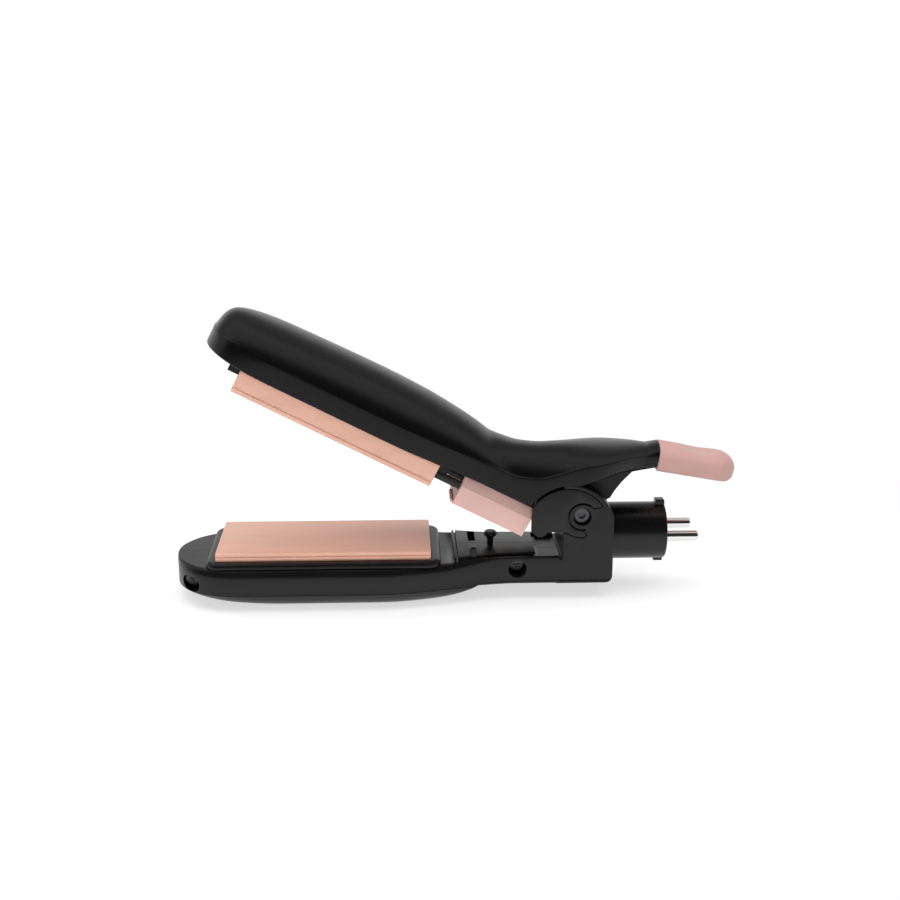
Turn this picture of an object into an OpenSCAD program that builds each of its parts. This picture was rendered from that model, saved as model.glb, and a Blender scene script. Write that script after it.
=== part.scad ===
// Hair waver head: two hinged jaws with heated plates on a plug-in spigot.
// X runs along the lower arm towards the spigot, Z is up, and the origin is where the
// spigot's axis leaves the shoulder. The upper arm is described shut and then opened.

/* [Pose] */
// Opening of the jaws as drawn, in degrees
jaw_open = 27.2; // [25:0.1:28]

/* [Spigot] */
// Diameter of the spigot
spigot_d = 24.5; // [24:0.1:25.5]
// Length of the spigot beyond the shoulder
spigot_l = 23.9; // [22:0.1:27]
// Wall of the spigot
spigot_wall = 1.2; // [1:0.1:1.4]
// Diameter of a contact pin
contact_d = 4.6; // [4:0.1:4.8]
// Gap between a contact pin and the spigot's wall
contact_in = 0.4; // [0.3:0.1:1.5]
// Length of a contact pin beyond the spigot
contact_out = 13.7; // [12:0.1:16]
// Height of the upper bayonet lug above the spigot
lug_h = 1.8; // [1.5:0.1:2.5]
// Height of the lower bayonet lug below the spigot
lug_low_h = 1.2; // [1:0.1:2]
// Length of a bayonet lug along the spigot
lug_l = 4.1; // [3:0.1:5]
// Width of a bayonet lug round the spigot
lug_w = 5; // [4:0.1:7]

/* [Plates] */
// Distance from the tip of the arms to the plates
plate_gap_tip = 18.1; // [16:0.1:20]
// Distance from the side of the arms to the plates
plate_gap_side = 6.35; // [5.8:0.05:7]
// Thickness of a heating plate's face
plate_t = 1.5; // [1.2:0.1:2]
// Thickness of a heating plate's folded sides
plate_side_t = 1.2; // [1:0.1:1.6]
// Distance from the shoulder to the plates
plate_gap_x = 77.2; // [76:0.1:79]
// Drop of the lower plate's face below the spigot's axis
plate_drop = 1.3; // [1:0.1:1.6]
// Height of the upper plate's folded sides
upper_side_h = 12.4; // [11.5:0.1:13]
// How far the upper plate floats up into its arm
float_travel = 2.9; // [2.5:0.1:3.2]
// Gap left between the shut plates
shut_gap = 0.2; // [0.1:0.05:0.4]

/* [Lower arm] */
// Length from the shoulder to the tip
arm_l = 185; // [180:0.5:190]
// Greatest width of both arms
arm_w = 54; // [53:0.5:57]
// Length of the rounded tip of both arms
tip_l = 30; // [26:0.5:32]
// Wall of the shells
wall = 2.2; // [1.8:0.1:2.4]
// Drop of the ledge round the tray below the spigot's axis
ledge_drop = 7.2; // [6.8:0.1:7.6]
// Drop of the side band's lower edge
band_drop = 18; // [17:0.1:19]
// Drop of the belly
belly_drop = 25.2; // [24:0.1:27]
// Width of the hinge block
block_w = 33; // [32.6:0.1:34]
// Length of the hinge block
block_l = 21.5; // [21:0.1:22]
// Drop of the hinge block's underside
block_drop = 18; // [17.5:0.1:19]
// Drop of the platform in front of the hinge block
platform_drop = 5.3; // [5.2:0.1:5.6]
// Thickness of the platform
platform_t = 2.2; // [1.8:0.1:2.6]
// Drop of the recess between platform and block
recess_drop = 8; // [7.6:0.1:9]

/* [Tray] */
// Ledge left beside the tray's rim
tray_in = 2.6; // [2.4:0.1:3]
// Overhang of the tray's rim past the plate's ends
tray_over = 4.2; // [3.8:0.1:4.6]
// Height of the tray's rim above the ledge
tray_rim_h = 2.5; // [2.2:0.1:2.7]
// Depth of the plate's seat below the ledge
tray_seat = 1.2; // [0.8:0.1:1.6]
// Floor of the tray
tray_floor = 1.5; // [1.2:0.1:2]

/* [Hinge] */
// Distance from the shoulder to the hinge axis
pivot_in = 13.5; // [13.2:0.1:13.8]
// Height of the hinge axis
pivot_up = 11.7; // [11.4:0.1:12]
// Diameter of the hinge screw's shank
hinge_d = 5.2; // [4.8:0.1:5.4]
// Radius of the knuckle
knuckle_r = 8.5; // [8:0.1:8.6]
// Width of the knuckle
knuckle_w = 20.8; // [20:0.1:21]
// Running gap on each side of the knuckle
knuckle_gap = 0.4; // [0.3:0.05:0.6]
// Outer radius of the ring round the screw hole
ring_r = 5.4; // [5.2:0.1:5.6]
// Radius of a screw hole's mouth
mouth_r = 3.8; // [3.6:0.1:4]
// Thickness of a hinge cheek
cheek_t = 1.9; // [1.6:0.1:2]
// Radius of the cheek's rim
cheek_r = 18; // [17.8:0.1:18.2]

/* [Upper arm] */
// Height of the cover's lower edge, shut
edge_up = 6.6; // [6.4:0.1:6.9]
// Height of the crease between side band and dome, shut
crease_up = 15; // [14.5:0.1:15.5]
// Height of the dome, shut
dome_up = 27.9; // [27:0.1:28.5]
// Half width of the cover beside the hinge block
cover_hinge_w = 19.5; // [19.3:0.1:20.2]
// Half width of the thumb lever
lever_w = 9; // [8.5:0.1:10]
// Length of the thumb grip
grip_l = 34.7; // [33:0.1:38]
// Thickness of the thumb grip
grip_t = 11.4; // [11:0.1:12]

/* [Lock slider] */
// Width of the lock slider
slider_w = 28.4; // [28:0.1:28.8]
// Length of the lock slider
slider_l = 33; // [32.5:0.1:33.2]
// Thickness of the slider's walls
slider_t = 1.8; // [1.6:0.1:2]
// Travel of the lock slider
slider_travel = 5; // [4:0.1:5]
// Radius of the lock peg's head
peg_head_r = 3; // [2.8:0.1:3.1]
// Radius of the lock peg's stem
peg_stem_r = 1.3; // [1.2:0.05:1.4]

/* [Hidden] */
$fn = 48;

black = [0.16, 0.16, 0.165];
dark = [0.1, 0.1, 0.105];
rose = [0.89, 0.69, 0.6];
pink = [0.89, 0.74, 0.71];
steel = [0.75, 0.75, 0.76];
amber = [0.75, 0.45, 0.15];
ceramic = [0.88, 0.87, 0.82];
tin = [0.82, 0.8, 0.7];

fit = 0.15;          // gap round a seated piece
clear = 0.4;         // gap beside a moving piece
slice_t = 0.02;      // thickness of a section in a skin
past = 1;            // how far a cut runs past a face

half_w = arm_w / 2;
block_h = block_w / 2;
pivot = [-pivot_in, 0, pivot_up];
tip_x = -arm_l;
tip_in = tip_x + tip_l;
plate_x1 = -plate_gap_x;
plate_x0 = tip_x + plate_gap_tip;
plate_l = plate_x1 - plate_x0;
plate_mid = (plate_x0 + plate_x1) / 2;
plate_y = half_w - plate_gap_side;
tray_w = arm_w - 2 * tray_in;
upper_face = -plate_drop + shut_gap - float_travel;   // the upper plate's face with the carriage down
up_shift = -0.6;     // the upper plate sits this much nearer the tip
up_x0 = plate_x0 + up_shift;
up_x1 = plate_x1 + up_shift;
slot_y = knuckle_w / 2 + knuckle_gap;
cheek_y0 = block_h - cheek_t;

// ---------- helpers ----------
function ease(t) = let (u = max(0, min(1, t))) u * u * (3 - 2 * u);
function mix(a, b, t) = a + (b - a) * t;
function arc(c, r, a0, a1, n) = [for (i = [0:n]) let (a = a0 + (a1 - a0) * i / n) c + r * [cos(a), sin(a)]];

// A closed skin through rings of the same number of points
module skin(rings) {
    n = len(rings[0]);
    m = len(rings);
    polyhedron([for (r = rings) each r],
               concat([[for (i = [0:n - 1]) i], [for (i = [n - 1:-1:0]) (m - 1) * n + i]],
                      [for (k = [0:m - 2]) for (i = [0:n - 1]) let (a = k * n + i, b = k * n + (i + 1) % n)
                          each [[a, a + n, b], [b, a + n, b + n]]]));
}
// A section across the arm, drawn from [y, z] points of its near half
module slice(x, half) {
    outline = concat(half, [for (i = [len(half) - 1:-1:0]) if (half[i][0] > 0.01) [-half[i][0], half[i][1]]]);
    translate([x, 0, 0])
        rotate([90, 0, 90])
            linear_extrude(slice_t)
                polygon(outline);
}

// A side outline of [x, z] points, extruded from y0 to y1
module side(points, y0, y1) {
    translate([0, y1, 0])
        rotate([90, 0, 0])
            linear_extrude(y1 - y0)
                polygon(points);
}

// The same on both sides of the centre plane
module both_sides() {
    children();
    mirror([0, 1, 0]) children();
}

module box(low, high) {
    translate(low) cube(high - low);
}

// A round bar along Y from y0 to y1 at [x, z]
module bar_y(p, r, y0, y1) {
    translate([p[0], y1, p[1]]) rotate([90, 0, 0]) cylinder(r = r, h = y1 - y0);
}

// A round bar along X from x0 to x1 at [y, z]
module bar_x(p, r, x0, x1) {
    translate([x0, p[0], p[1]]) rotate([0, 90, 0]) cylinder(r = r, h = x1 - x0);
}

// A lead of radius r along the given points
module lead(points, r) {
    for (i = [1:len(points) - 1]) {
        a = points[i - 1];
        d = points[i] - a;
        l = norm(d);
        translate(a)
            rotate([0, acos(d[2] / l), atan2(d[1], d[0])])
                cylinder(r = r, h = l, $fn = 16);
        if (i < len(points) - 1)
            translate(points[i]) sphere(r = r * 1.04, $fn = 16);
    }
}

// Opens the upper arm about the hinge
module opened() {
    translate(pivot) rotate([0, jaw_open, 0]) translate(-pivot) children();
}

// ---------- lower arm's form ----------
// Half width of the lower arm at x, drawn in by inset
function tip_share(x, inset) = let (u = min(1, max(0, (tip_in - x) / (tip_l - inset)))) pow(1 - pow(u, 2.3), 1 / 2.3);
neck_x0 = -100;
neck_x1 = -40;
function lower_w(x, inset) =
    max(0.4, x < tip_in ? (half_w - inset) * tip_share(x, inset)
                        : mix(half_w, block_h, ease((x - neck_x0) / (neck_x1 - neck_x0))) - inset);
// Height of the belly at x
belly_x0 = -140;
belly_x1 = -86;
belly_end = -57;
function lower_z(x) = x < belly_x0
    ? -mix(belly_drop, band_drop + 1, pow((belly_x0 - x) / (arm_l + belly_x0), 1.8))
    : x > belly_x1 ? -mix(belly_drop, block_drop, pow(min(1, (x - belly_x1) / (belly_end - belly_x1)), 2.2))
                   : -belly_drop;
shoulder = 2.8;      // slope between ledge and side band
function lower_half(x, inset) =
    let (w = lower_w(x, inset),
         k = min(1, w / 14),
         top = -ledge_drop - inset,
         z = lower_z(x) + inset,
         band = max(-band_drop + inset / 2, z + 1.2 * k))
    [[0, top], [w - shoulder * k, top], [w - 0.5 * k, top - 1.7 * k], [w, top - 2.9 * k], [w, band],
     [w - 1.6 * k, mix(band, z, 0.38)], [w - 5 * k, mix(band, z, 0.72)], [w - 9.5 * k, mix(band, z, 0.93)],
     [w - 13.5 * k, z], [0, z]];
tip_steps = [0.7, 2.5, 5.4, 10, 16, 23, 33];   // sections back from the tip
neck_steps = [-125, -100, -92, -84, -76, -68, -62, belly_end];
module lower_skin(inset) {
    xs = concat([tip_x + inset], [for (d = tip_steps) if (d > inset + 0.3) tip_x + d], neck_steps);
    for (i = [1:len(xs) - 1]) hull() {
        slice(xs[i - 1], lower_half(xs[i - 1], inset));
        slice(xs[i], lower_half(xs[i], inset));
    }
}

block_round = 3;     // radius of the block's lower corner
block_top_c = [-pivot_in - 6, 5.5];
block_top_r = 20.3;
wall_in = 4.4;       // thickness of the wall behind the spigot
rear_x0 = belly_end - 10.4;
recess_x = -block_l - 11;
side_drop = platform_drop + 0.8;
platform_in = 1.9;   // side wall left beside the platform
platform_under = -platform_drop - platform_t;
recess_under = -recess_drop - platform_t;
sill = spigot_d / 2 + 2.35;   // top of the wall over the spigot
block_crown = [for (p = arc(block_top_c, block_top_r, 16, 95, 14)) [min(0, p[0]), p[1]]];
rear_outline = concat(
    [[rear_x0 + 1.2, -platform_drop], [rear_x0, -platform_drop - 1.2], [rear_x0, -block_drop]],
    arc([-block_round, -block_drop + block_round], block_round, -90, 0, 6),
    block_crown, [[-block_l, block_top_c[1] + block_top_r], [-block_l, -platform_drop]]);
// The arm seen from above, drawn in by inset, from z0 to z1
module in_plan(inset, z0, z1) {
    step = (neck_x1 - rear_x0) / 9;
    xs = concat([rear_x0 - 3], [for (i = [1:9]) rear_x0 + i * step], [2 * past]);
    translate([0, 0, z0])
        linear_extrude(z1 - z0)
            polygon(concat([for (x = xs) [x, lower_w(x, 0) - inset]],
                           [for (i = [len(xs) - 1:-1:0]) [xs[i], -lower_w(xs[i], 0) + inset]]));
}
// Outline of the C-shaped hinge cheek
cheek_c = [-pivot_in - 6, pivot_up - 5.7];
cheek_outline = concat(
    [[-34.9, 5.1], [-34.9, 10.2]],
    arc(cheek_c, cheek_r, 147, 47, 16),
    [[-5.1, 16.5], [-6, 15.7], [-8.3, 15.5], [-pivot_in, pivot_up], [-12.8, 5.6], [-11.5, 3.6], [-12.4, 2.6],
     [-14.4, 2.5], [-17.2, 3.2], [-19.6, 4.4], [-21.7, 4.9], [-27.4, 5], [-30, 2.9], [-32.1, 2.8]]);
ring_gap_r = ring_r + 0.6;

tip_screw = [tip_x + 7.5, -14.6];
mid_screw = [-40.5, -11.2];
screw_r = 1.5;
function screw_depth(x) = lower_w(x, 0);

// Everything solid in the lower casing, before it is split into shells
module lower_casing() {
    difference() {
        union() {
            difference() {
                lower_skin(0);
                lower_skin(wall);
                // the tray's window
                box([plate_x0 - 1.8, -plate_y - 1.6, -ledge_drop - 4], [plate_x1 + 1.8, plate_y + 1.6, past]);
            }
            // rear: platform, side walls and hinge block
            difference() {
                intersection() {
                    side(rear_outline, -half_w, half_w);
                    in_plan(0, -60, 60);
                }
                // lowered side walls and the groove beside the platform
                difference() {
                    box([rear_x0 - past, -half_w, -side_drop], [-block_l, half_w, past]);
                    in_plan(platform_in, -20, 2 * past);
                }
                difference() {
                    in_plan(platform_in - 0.02, -side_drop - 1.3, 0.5);
                    in_plan(platform_in + 0.9, -side_drop - 2, past);
                    box([recess_x, -block_h, -20], [past, block_h, 2 * past]);
                }
                // hollow under the platform
                side([[rear_x0 - past, -block_drop + wall], [-wall_in, -block_drop + wall], [-wall_in, recess_under],
                      [recess_x - wall, recess_under], [recess_x - wall, platform_under], [rear_x0 - past, platform_under]],
                     -block_h + wall, block_h - wall);
                // recess in front of the block
                box([recess_x, -block_h + wall + 0.1, -recess_drop], [-block_l, block_h - wall - 0.1, 0]);
                // slot for the knuckle
                box([-block_l - past, -slot_y, pivot_up - knuckle_r - 0.8], [-wall_in, slot_y, 40]);
                box([-wall_in - past, -slot_y, sill], [past, slot_y, 41]);
            }
            // locating stud on the near side
            box([-60.7, -16.6, -platform_drop - 0.6], [-57.9, -slider_w / 2 - fit, -1.3]);
            // screw bosses
            intersection() {
                lower_skin(0.5);
                bar_y(tip_screw, 5, -half_w, half_w);
            }
            bar_y(mid_screw, 5, -lower_w(mid_screw[0], 0) + 0.8, lower_w(mid_screw[0], 0) - 0.8);
        }
        // the leads' way through the screw boss
        box([mid_screw[0] - 6, -lead_y - 1.4, lead_z - 1.1], [mid_screw[0] + 6, lead_y + 1.4, lead_z + 1]);
        // the leads' chamber behind the spigot
        box([-11.9, -spigot_stub_r + 1.25, recess_under - past], [-wall_in + 0.3, spigot_stub_r - 1.25, 0.7]);
        // spigot's seat in the wall
        bar_x([0, 0], spigot_d / 2 + fit, -1.4, past);
        bar_x([0, 0], spigot_flange_r + fit, -3.2, -1.3);
        bar_x([0, 0], spigot_stub_r + fit, -wall_in - past, -3.1);
        // cheeks' pockets round the rings
        both_sides() difference() {
            side(cheek_outline, cheek_y0, block_h + past);
            bar_y([pivot[0], pivot[2]], ring_gap_r, cheek_y0 - past, block_h + 2 * past);
        }
        both_sides() difference() {
            bar_y([pivot[0], pivot[2]], ring_gap_r, cheek_y0, block_h + past);
            bar_y([pivot[0], pivot[2]], ring_r, cheek_y0 - past, block_h + 2 * past);
            box([pivot[0] + 1.5, cheek_y0 - past, pivot[2] - 7], [0, block_h + 2 * past, pivot[2] + 4.5]);
        }
        // screw holes
        for (p = [tip_screw, mid_screw]) {
            bar_y(p, mouth_r, -half_w - past, -screw_depth(p[0]) + 8);
            bar_y(p, screw_r + fit, -half_w, lower_w(p[0], 0) - wall);
        }
        both_sides() bar_y([pivot[0], pivot[2]], mouth_r, block_h - 3.6, block_h + past);
        bar_y([pivot[0], pivot[2]], hinge_d / 2 + 0.05, -block_h, block_h);
        // lock peg's hole and the locating slot
        translate([peg_x, 0, -20]) cylinder(r = peg_stem_r + 0.05, h = 20);
        box([-60.5, 2.9, platform_under - 1.2], [-57.4, 15.1, 0]);
    }
}

peg_x = -51.1;
peg_top = 0.4;
spigot_flange_r = spigot_d / 2 + 1.1;
spigot_stub_r = spigot_d / 2 - 3.4;

module lower_shell_near() {
    color(black) intersection() {
        lower_casing();
        box([-220, -60, -60], [60, 0, 60]);
    }
}

module lower_shell_far() {
    color(black) intersection() {
        lower_casing();
        box([-220, 0, -60], [60, 60, 60]);
    }
}

// ---------- lower plate and its tray ----------
tray_x0 = plate_x0 - tray_over;
tray_x1 = plate_x1 + tray_over;
seat_z = -ledge_drop - tray_seat;
module rounded_block(x0, x1, w, z0, z1, r) {
    translate([0, 0, z0])
        linear_extrude(z1 - z0) {
            translate([x0 + r, -w / 2]) square([x1 - x0 - 2 * r, w]);
            translate([x0, -w / 2 + r]) square([x1 - x0, w - 2 * r]);
            for (x = [x0 + r, x1 - r], y = [-w / 2 + r, w / 2 - r]) translate([x, y]) circle(r = r);
        }
}

module lower_plate_tray() {
    color(black) difference() {
        union() {
            rounded_block(tray_x0, tray_x1, tray_w, -ledge_drop, -ledge_drop + tray_rim_h - 0.8, 6);
            rounded_block(tray_x0 + 0.8, tray_x1 - 0.8, tray_w - 1.6, -ledge_drop, -ledge_drop + tray_rim_h, 5.2);
            box([plate_x0 - 1.5, -plate_y - 1.3, seat_z - tray_floor], [plate_x1 + 1.5, plate_y + 1.3, -ledge_drop + past]);
        }
        box([plate_x0 - fit, -plate_y - fit, seat_z], [plate_x1 + fit, plate_y + fit, past]);
        // way through for the leads
        box([plate_x1 - 9, -5, seat_z - tray_floor - past], [plate_x1 - 4, 5, seat_z + past]);
    }
}

// A channel-shaped plate with its face at z0 and its sides ending at z1
module channel(z0, z1) {
    up = z1 > z0 ? 1 : -1;
    inner = z0 + up * plate_t;
    side_low = min(z0, z1);
    side_high = max(z0, z1);
    box([plate_x0, -plate_y, min(z0, inner)], [plate_x1, plate_y, max(z0, inner)]);
    both_sides() box([plate_x0, plate_y - plate_side_t, side_low], [plate_x1, plate_y, side_high]);
}

// A leaf that presses a heater against its plate: low at its ends, high at its middle
module leaf(z0, z1) {
    n = 24;
    l = 44;
    t = 0.5;
    rise = abs(z1 - z0) - t;
    low = min(z0, z1);
    wave = [for (i = [0:n]) let (u = i / n) [plate_mid - l / 2 + l * u, low + rise * (0.5 - 0.5 * cos(720 * u))]];
    side(concat(wave, [for (i = [n:-1:0]) wave[i] + [0, t]]), -4, 4);
}

heater_l = 58;
heater_w = 16;
heater_t = 2;
film_t = 0.5;
fuse_r = 1.3;
lead_r = 0.8;
heater_x0 = plate_mid - heater_l / 2;
film_over = 2;       // the film runs this far past the heater
fuse_l = 12;
lower_inner = -plate_drop - plate_t;
lower_film = lower_inner - heater_t;

module lower_heating_plate() {
    color(rose) channel(-plate_drop, seat_z);
}

module lower_heater() {
    color(ceramic) box([heater_x0, -heater_w / 2, lower_film], [heater_x0 + heater_l, heater_w / 2, lower_inner]);
}

module lower_insulation() {
    color(amber) box([heater_x0 - film_over, -heater_w / 2 - 1.5, lower_film - film_t],
                     [heater_x0 + heater_l + film_over, heater_w / 2 + 1.5, lower_film]);
}

module lower_heater_clip() {
    color(steel) leaf(lower_film - film_t, seat_z);
}

module lower_thermal_fuse() {
    color(ceramic) bar_x([heater_w / 2 + 5, lower_inner - fuse_r], fuse_r, plate_mid + 4, plate_mid + 4 + fuse_l);
}

// Leads from the heater to the terminals
lead_y = 2.6;
lead_z = -14;
module lower_leads() {
    color(dark) both_sides() lead([
        [heater_x0 + heater_l, lead_y, lower_inner - heater_t / 2],
        [plate_x1 - 6.5, lead_y, lower_inner - heater_t / 2],
        [plate_x1 - 6.5, lead_y, lead_z],
        [-12, lead_y, lead_z],
        [-8, 5, -4],
        [-1, term_y, 0],
        [term_x0 + 3, term_y, 0]], lead_r);
}

module lock_peg() {
    color(dark) translate([peg_x, 0, 0]) rotate_extrude()
        polygon([[0, -platform_drop - platform_t - 1.4], [2.6, -platform_drop - platform_t - 1.4],
                 [2.6, -platform_drop - platform_t], [peg_stem_r, -platform_drop - platform_t], [peg_stem_r, peg_top - 3],
                 [peg_head_r, peg_top - 1.5], [peg_head_r, peg_top - 1], [peg_head_r - 0.7, peg_top - 0.8],
                 [peg_head_r - 0.7, peg_top], [0, peg_top]]);
}

// ---------- hinge ----------
module cheek() {
    difference() {
        side(cheek_outline, cheek_y0 + 0.1, block_h);
        bar_y([pivot[0], pivot[2]], ring_gap_r, cheek_y0 - past, block_h + past);
    }
}

module hinge_cheek_near() {
    color(black) mirror([0, 1, 0]) cheek();
}

module hinge_cheek_far() {
    color(black) cheek();
}

module hinge_screw() {
    head = block_h - 3.6;
    color(steel) difference() {
        union() {
            bar_y([pivot[0], pivot[2]], hinge_d / 2, -head, head);
            both_sides() bar_y([pivot[0], pivot[2]], mouth_r - 0.5, head, head + 1.2);
        }
        both_sides() translate([pivot[0], head + 2, pivot[2]])
            rotate([90, 0, 0]) cylinder(r = 1.6, h = 1.6, $fn = 6);
    }
}

module casing_screws() {
    color(steel) for (p = [tip_screw, mid_screw]) {
        seat = -screw_depth(p[0]) + 8;
        difference() {
            union() {
                bar_y(p, 2.9, seat - 1.6, seat);
                bar_y(p, screw_r, seat - 0.5, lower_w(p[0], 0) - wall - 1);
            }
            for (a = [0, 90])
                translate([p[0], seat - 1.6, p[1]]) rotate([0, a, 0]) cube([3, 1.6, 0.7], center = true);
        }
    }
}

coil_in = hinge_d / 2 + 1.6;
coil_y = 4.4;
wire_r = 0.8;
module torsion_spring() {
    n = 5;
    pitch = (2 * coil_y - 2 * wire_r) / (n - 1);
    r = coil_in + wire_r;
    color(steel) {
        for (i = [0:n - 1])
            translate([pivot[0], -coil_y + wire_r + i * pitch, pivot[2]])
                rotate([90, 0, 0]) rotate_extrude() translate([r, 0]) circle(r = pitch / 2 + 0.02, $fn = 24);
        translate([pivot[0] - r, coil_y - wire_r, pivot[2] - knuckle_r - 0.75]) cylinder(r = wire_r, h = knuckle_r + 0.7, $fn = 24);
    }
}

// ---------- spigot ----------
term_x0 = 1.5;
stub_bore_r = spigot_stub_r - 1.3;
term_y = stub_bore_r - lead_r - fit;
spigot_bore_r = spigot_d / 2 - spigot_wall;
contact_y = spigot_bore_r - contact_in - contact_d / 2;
contact_neck = 0.3;   // the pin is this much thinner inside the spigot
carrier_x0 = 8;
carrier_x1 = spigot_l - 1.5;
contact_tip = spigot_l + contact_out;
tail_r = 1.1;        // a pin's tail in its terminal
module spigot_body() {
    r = spigot_d / 2;
    color(dark) difference() {
        union() {
            bar_x([0, 0], r, -1.4, spigot_l - 0.8);
            bar_x([0, 0], r - 0.6, 0, spigot_l);
            bar_x([0, 0], spigot_flange_r, -3.1, -1.4);
            bar_x([0, 0], spigot_stub_r, -wall_in, -3);
            for (s = [-1, 1])
                box([spigot_l - lug_l, -lug_w / 2, s > 0 ? r - 0.5 : -r - lug_low_h],
                    [spigot_l, lug_w / 2, s > 0 ? r + lug_h : -r + 0.5]);
        }
        bar_x([0, 0], spigot_bore_r, term_x0 - 1, spigot_l + past);
        // ways through the rear wall for the leads
        bar_x([0, 0], stub_bore_r, -wall_in - past, term_x0);
    }
}

module contact_carrier() {
    color([0.3, 0.3, 0.31]) difference() {
        bar_x([0, 0], spigot_bore_r - 0.05, carrier_x0, carrier_x1);
        for (s = [-1, 1])
            bar_x([s * contact_y, 0], contact_d / 2 - contact_neck + 0.03, carrier_x0 - past, carrier_x1 + past);
    }
}

module contact_pins() {
    r = contact_d / 2;
    neck_r = r - contact_neck;
    nose = 1.2;
    color(steel) for (s = [-1, 1])
        translate([0, s * contact_y, 0]) rotate([0, 90, 0]) rotate_extrude()
            polygon(concat([[0, carrier_x0 - 2], [tail_r, carrier_x0 - 2], [tail_r, carrier_x0], [neck_r, carrier_x0],
                            [neck_r, spigot_l + 0.1], [r, spigot_l + 0.1]],
                           arc([r - nose, contact_tip - nose], nose, 0, 90, 6), [[0, contact_tip]]));
}

module crimp_terminals() {
    color(tin) for (s = [-1, 1]) difference() {
        union() {
            bar_x([s * term_y, 0], 1.7, term_x0, carrier_x0 - 1.5);
            box([carrier_x0 - 1.5, min(s * (contact_y + 1.2), s * (term_y - 1.4)), -1.5],
                [carrier_x0 - 1, max(s * (contact_y + 1.2), s * (term_y - 1.4)), 1.5]);
        }
        bar_x([s * contact_y, 0], tail_r, carrier_x0 - 3, carrier_x0);
        bar_x([s * term_y, 0], tail_r, term_x0 - 1, carrier_x0 - 3);
    }
}

// ---------- upper arm's cover, shut ----------
cover_x = concat([for (d = [0.6, 2.2, 5, 9, 15, 22, 31]) tip_x + d],
    [-130, -118, -105, -90, -78, -68, -60, -52, -44, -37, -35, -33, -30, -26, -22, -17, -12, -6, 0]);
cover_neck_x0 = -105;
cover_neck_x1 = -45;
lever_x0 = -20;
lever_x1 = 5;
function upper_w(x, inset) =
    max(0.4, x < tip_in ? (half_w - inset) * tip_share(x, inset)
                        : mix(mix(half_w, cover_hinge_w, ease((x - cover_neck_x0) / (cover_neck_x1 - cover_neck_x0))),
                              lever_w, ease((x - lever_x0) / (lever_x1 - lever_x0))) - inset);
// Lower edge, crease and crown of the cover as it runs back over the hinge to the lever
edge_rise = [[-36, 0], [-35, 3.4], [-34, 5.6], [-32, 9.2], [-30, 11.8], [-26, 14.9], [-22, 16.8], [-17, 21.4],
             [-12, 25.4], [-6, 28.4], [0, 31.8], [6, 36]];
crease_rise = [[-50, 0], [-43, 1.7], [-37.5, 4.1], [-31.2, 9.3], [-24, 16.1], [-14, 24.1], [-5, 28.8], [5, 32.6]];
crown_fall = [[tip_x, 17.8], [tip_x + 0.6, 12.6], [tip_x + 2.2, 7.6], [tip_x + 5, 4.6], [tip_x + 9, 3.2],
              [tip_x + 15, 2.2], [tip_x + 22, 1.5], [-147, 0.8], [-129, 0.3], [-112, 0], [-94, 0.4], [-80, 1.5],
              [-68, 3], [-61, 4], [-52, 3], [-41, -0.8], [-29, -7.3], [-16, -13.9], [-4, -19.6], [5, -23.5]];
dome_a = 22;         // the dome leaves its crease this far from upright
function edge_z(x) = edge_up + lookup(x, edge_rise);
function crease_z(x) = x < tip_in ? mix(crease_up, crease_up - 1.6, pow((tip_in - x) / tip_l, 3))
                                  : crease_up + lookup(x, crease_rise);
function crown_z(x) = dome_up - lookup(x, crown_fall);
function upper_half(x, inset) =
    let (w = upper_w(x, inset),
         low = inset > 0 ? edge_z(x) - (x < -16 ? past : -wall) : edge_z(x),
         crown = max(low + 1, crown_z(x) - inset),
         crease = max(low + 0.6, min(crease_z(x) - inset / 2, crown - 0.5)))
    concat([[0, low], [w - 0.6, low], [w, min(low + 0.6, crease)]],
           [for (a = [dome_a, 34, 48, 62, 77])
               [w * cos(a) / cos(dome_a), mix(crease, crown, (sin(a) - sin(dome_a)) / (1 - sin(dome_a)))]], [[0, crown]]);
module upper_skin(inset, x_end) {
    xs = concat([tip_x + inset], [for (x = cover_x) if (x > tip_x + inset + 0.3 && x < x_end) x]);
    for (i = [1:len(xs) - 1]) hull() {
        slice(xs[i - 1], upper_half(xs[i - 1], inset));
        slice(xs[i], upper_half(xs[i], inset));
    }
}

tongue_a = 17;       // slope of the lever's end
tongue_o = [5.4, 46.4];
tongue_l = 24;
lever_end = [[0, -3.8], [lever_w - 2, -3.8], [lever_w - 1, -3.2], [lever_w - 0.2, 1.3], [lever_w - 0.4, 1.6],
             [lever_w - 1.8, 3.9], [lever_w - 4.8, 5.4], [lever_w - 6.8, 5.8], [0, 6]];   // section where the grip starts
module on_lever() {
    translate([tongue_o[0], 0, tongue_o[1]]) rotate([0, -tongue_a, 0]) children();
}

cover_screw_at = [[tip_x + 9, 0], [-69.4, 0]];
boss_r = 3;
module cover_boss_at() {
    for (p = cover_screw_at) translate([p[0], p[1], frame_top]) children();
}

module upper_cover() {
    color(black) opened() {
        difference() {
            upper_skin(0, past);
            upper_skin(wall, -12);
        }
        // the lever leans to meet the grip's slanted face
        hull() {
            slice(0, upper_half(0, 0));
            on_lever() slice(-fit, lever_end);
        }
        difference() {
            intersection() {
                cover_boss_at() cylinder(r = boss_r, h = 16);
                upper_skin(0.6, 0);
            }
            cover_boss_at() translate([0, 0, -past]) cylinder(r = screw_r + 0.05, h = 9);
        }
        on_lever() box([-3, -5, -2], [tongue_l, 5, 2]);
    }
}

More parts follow.
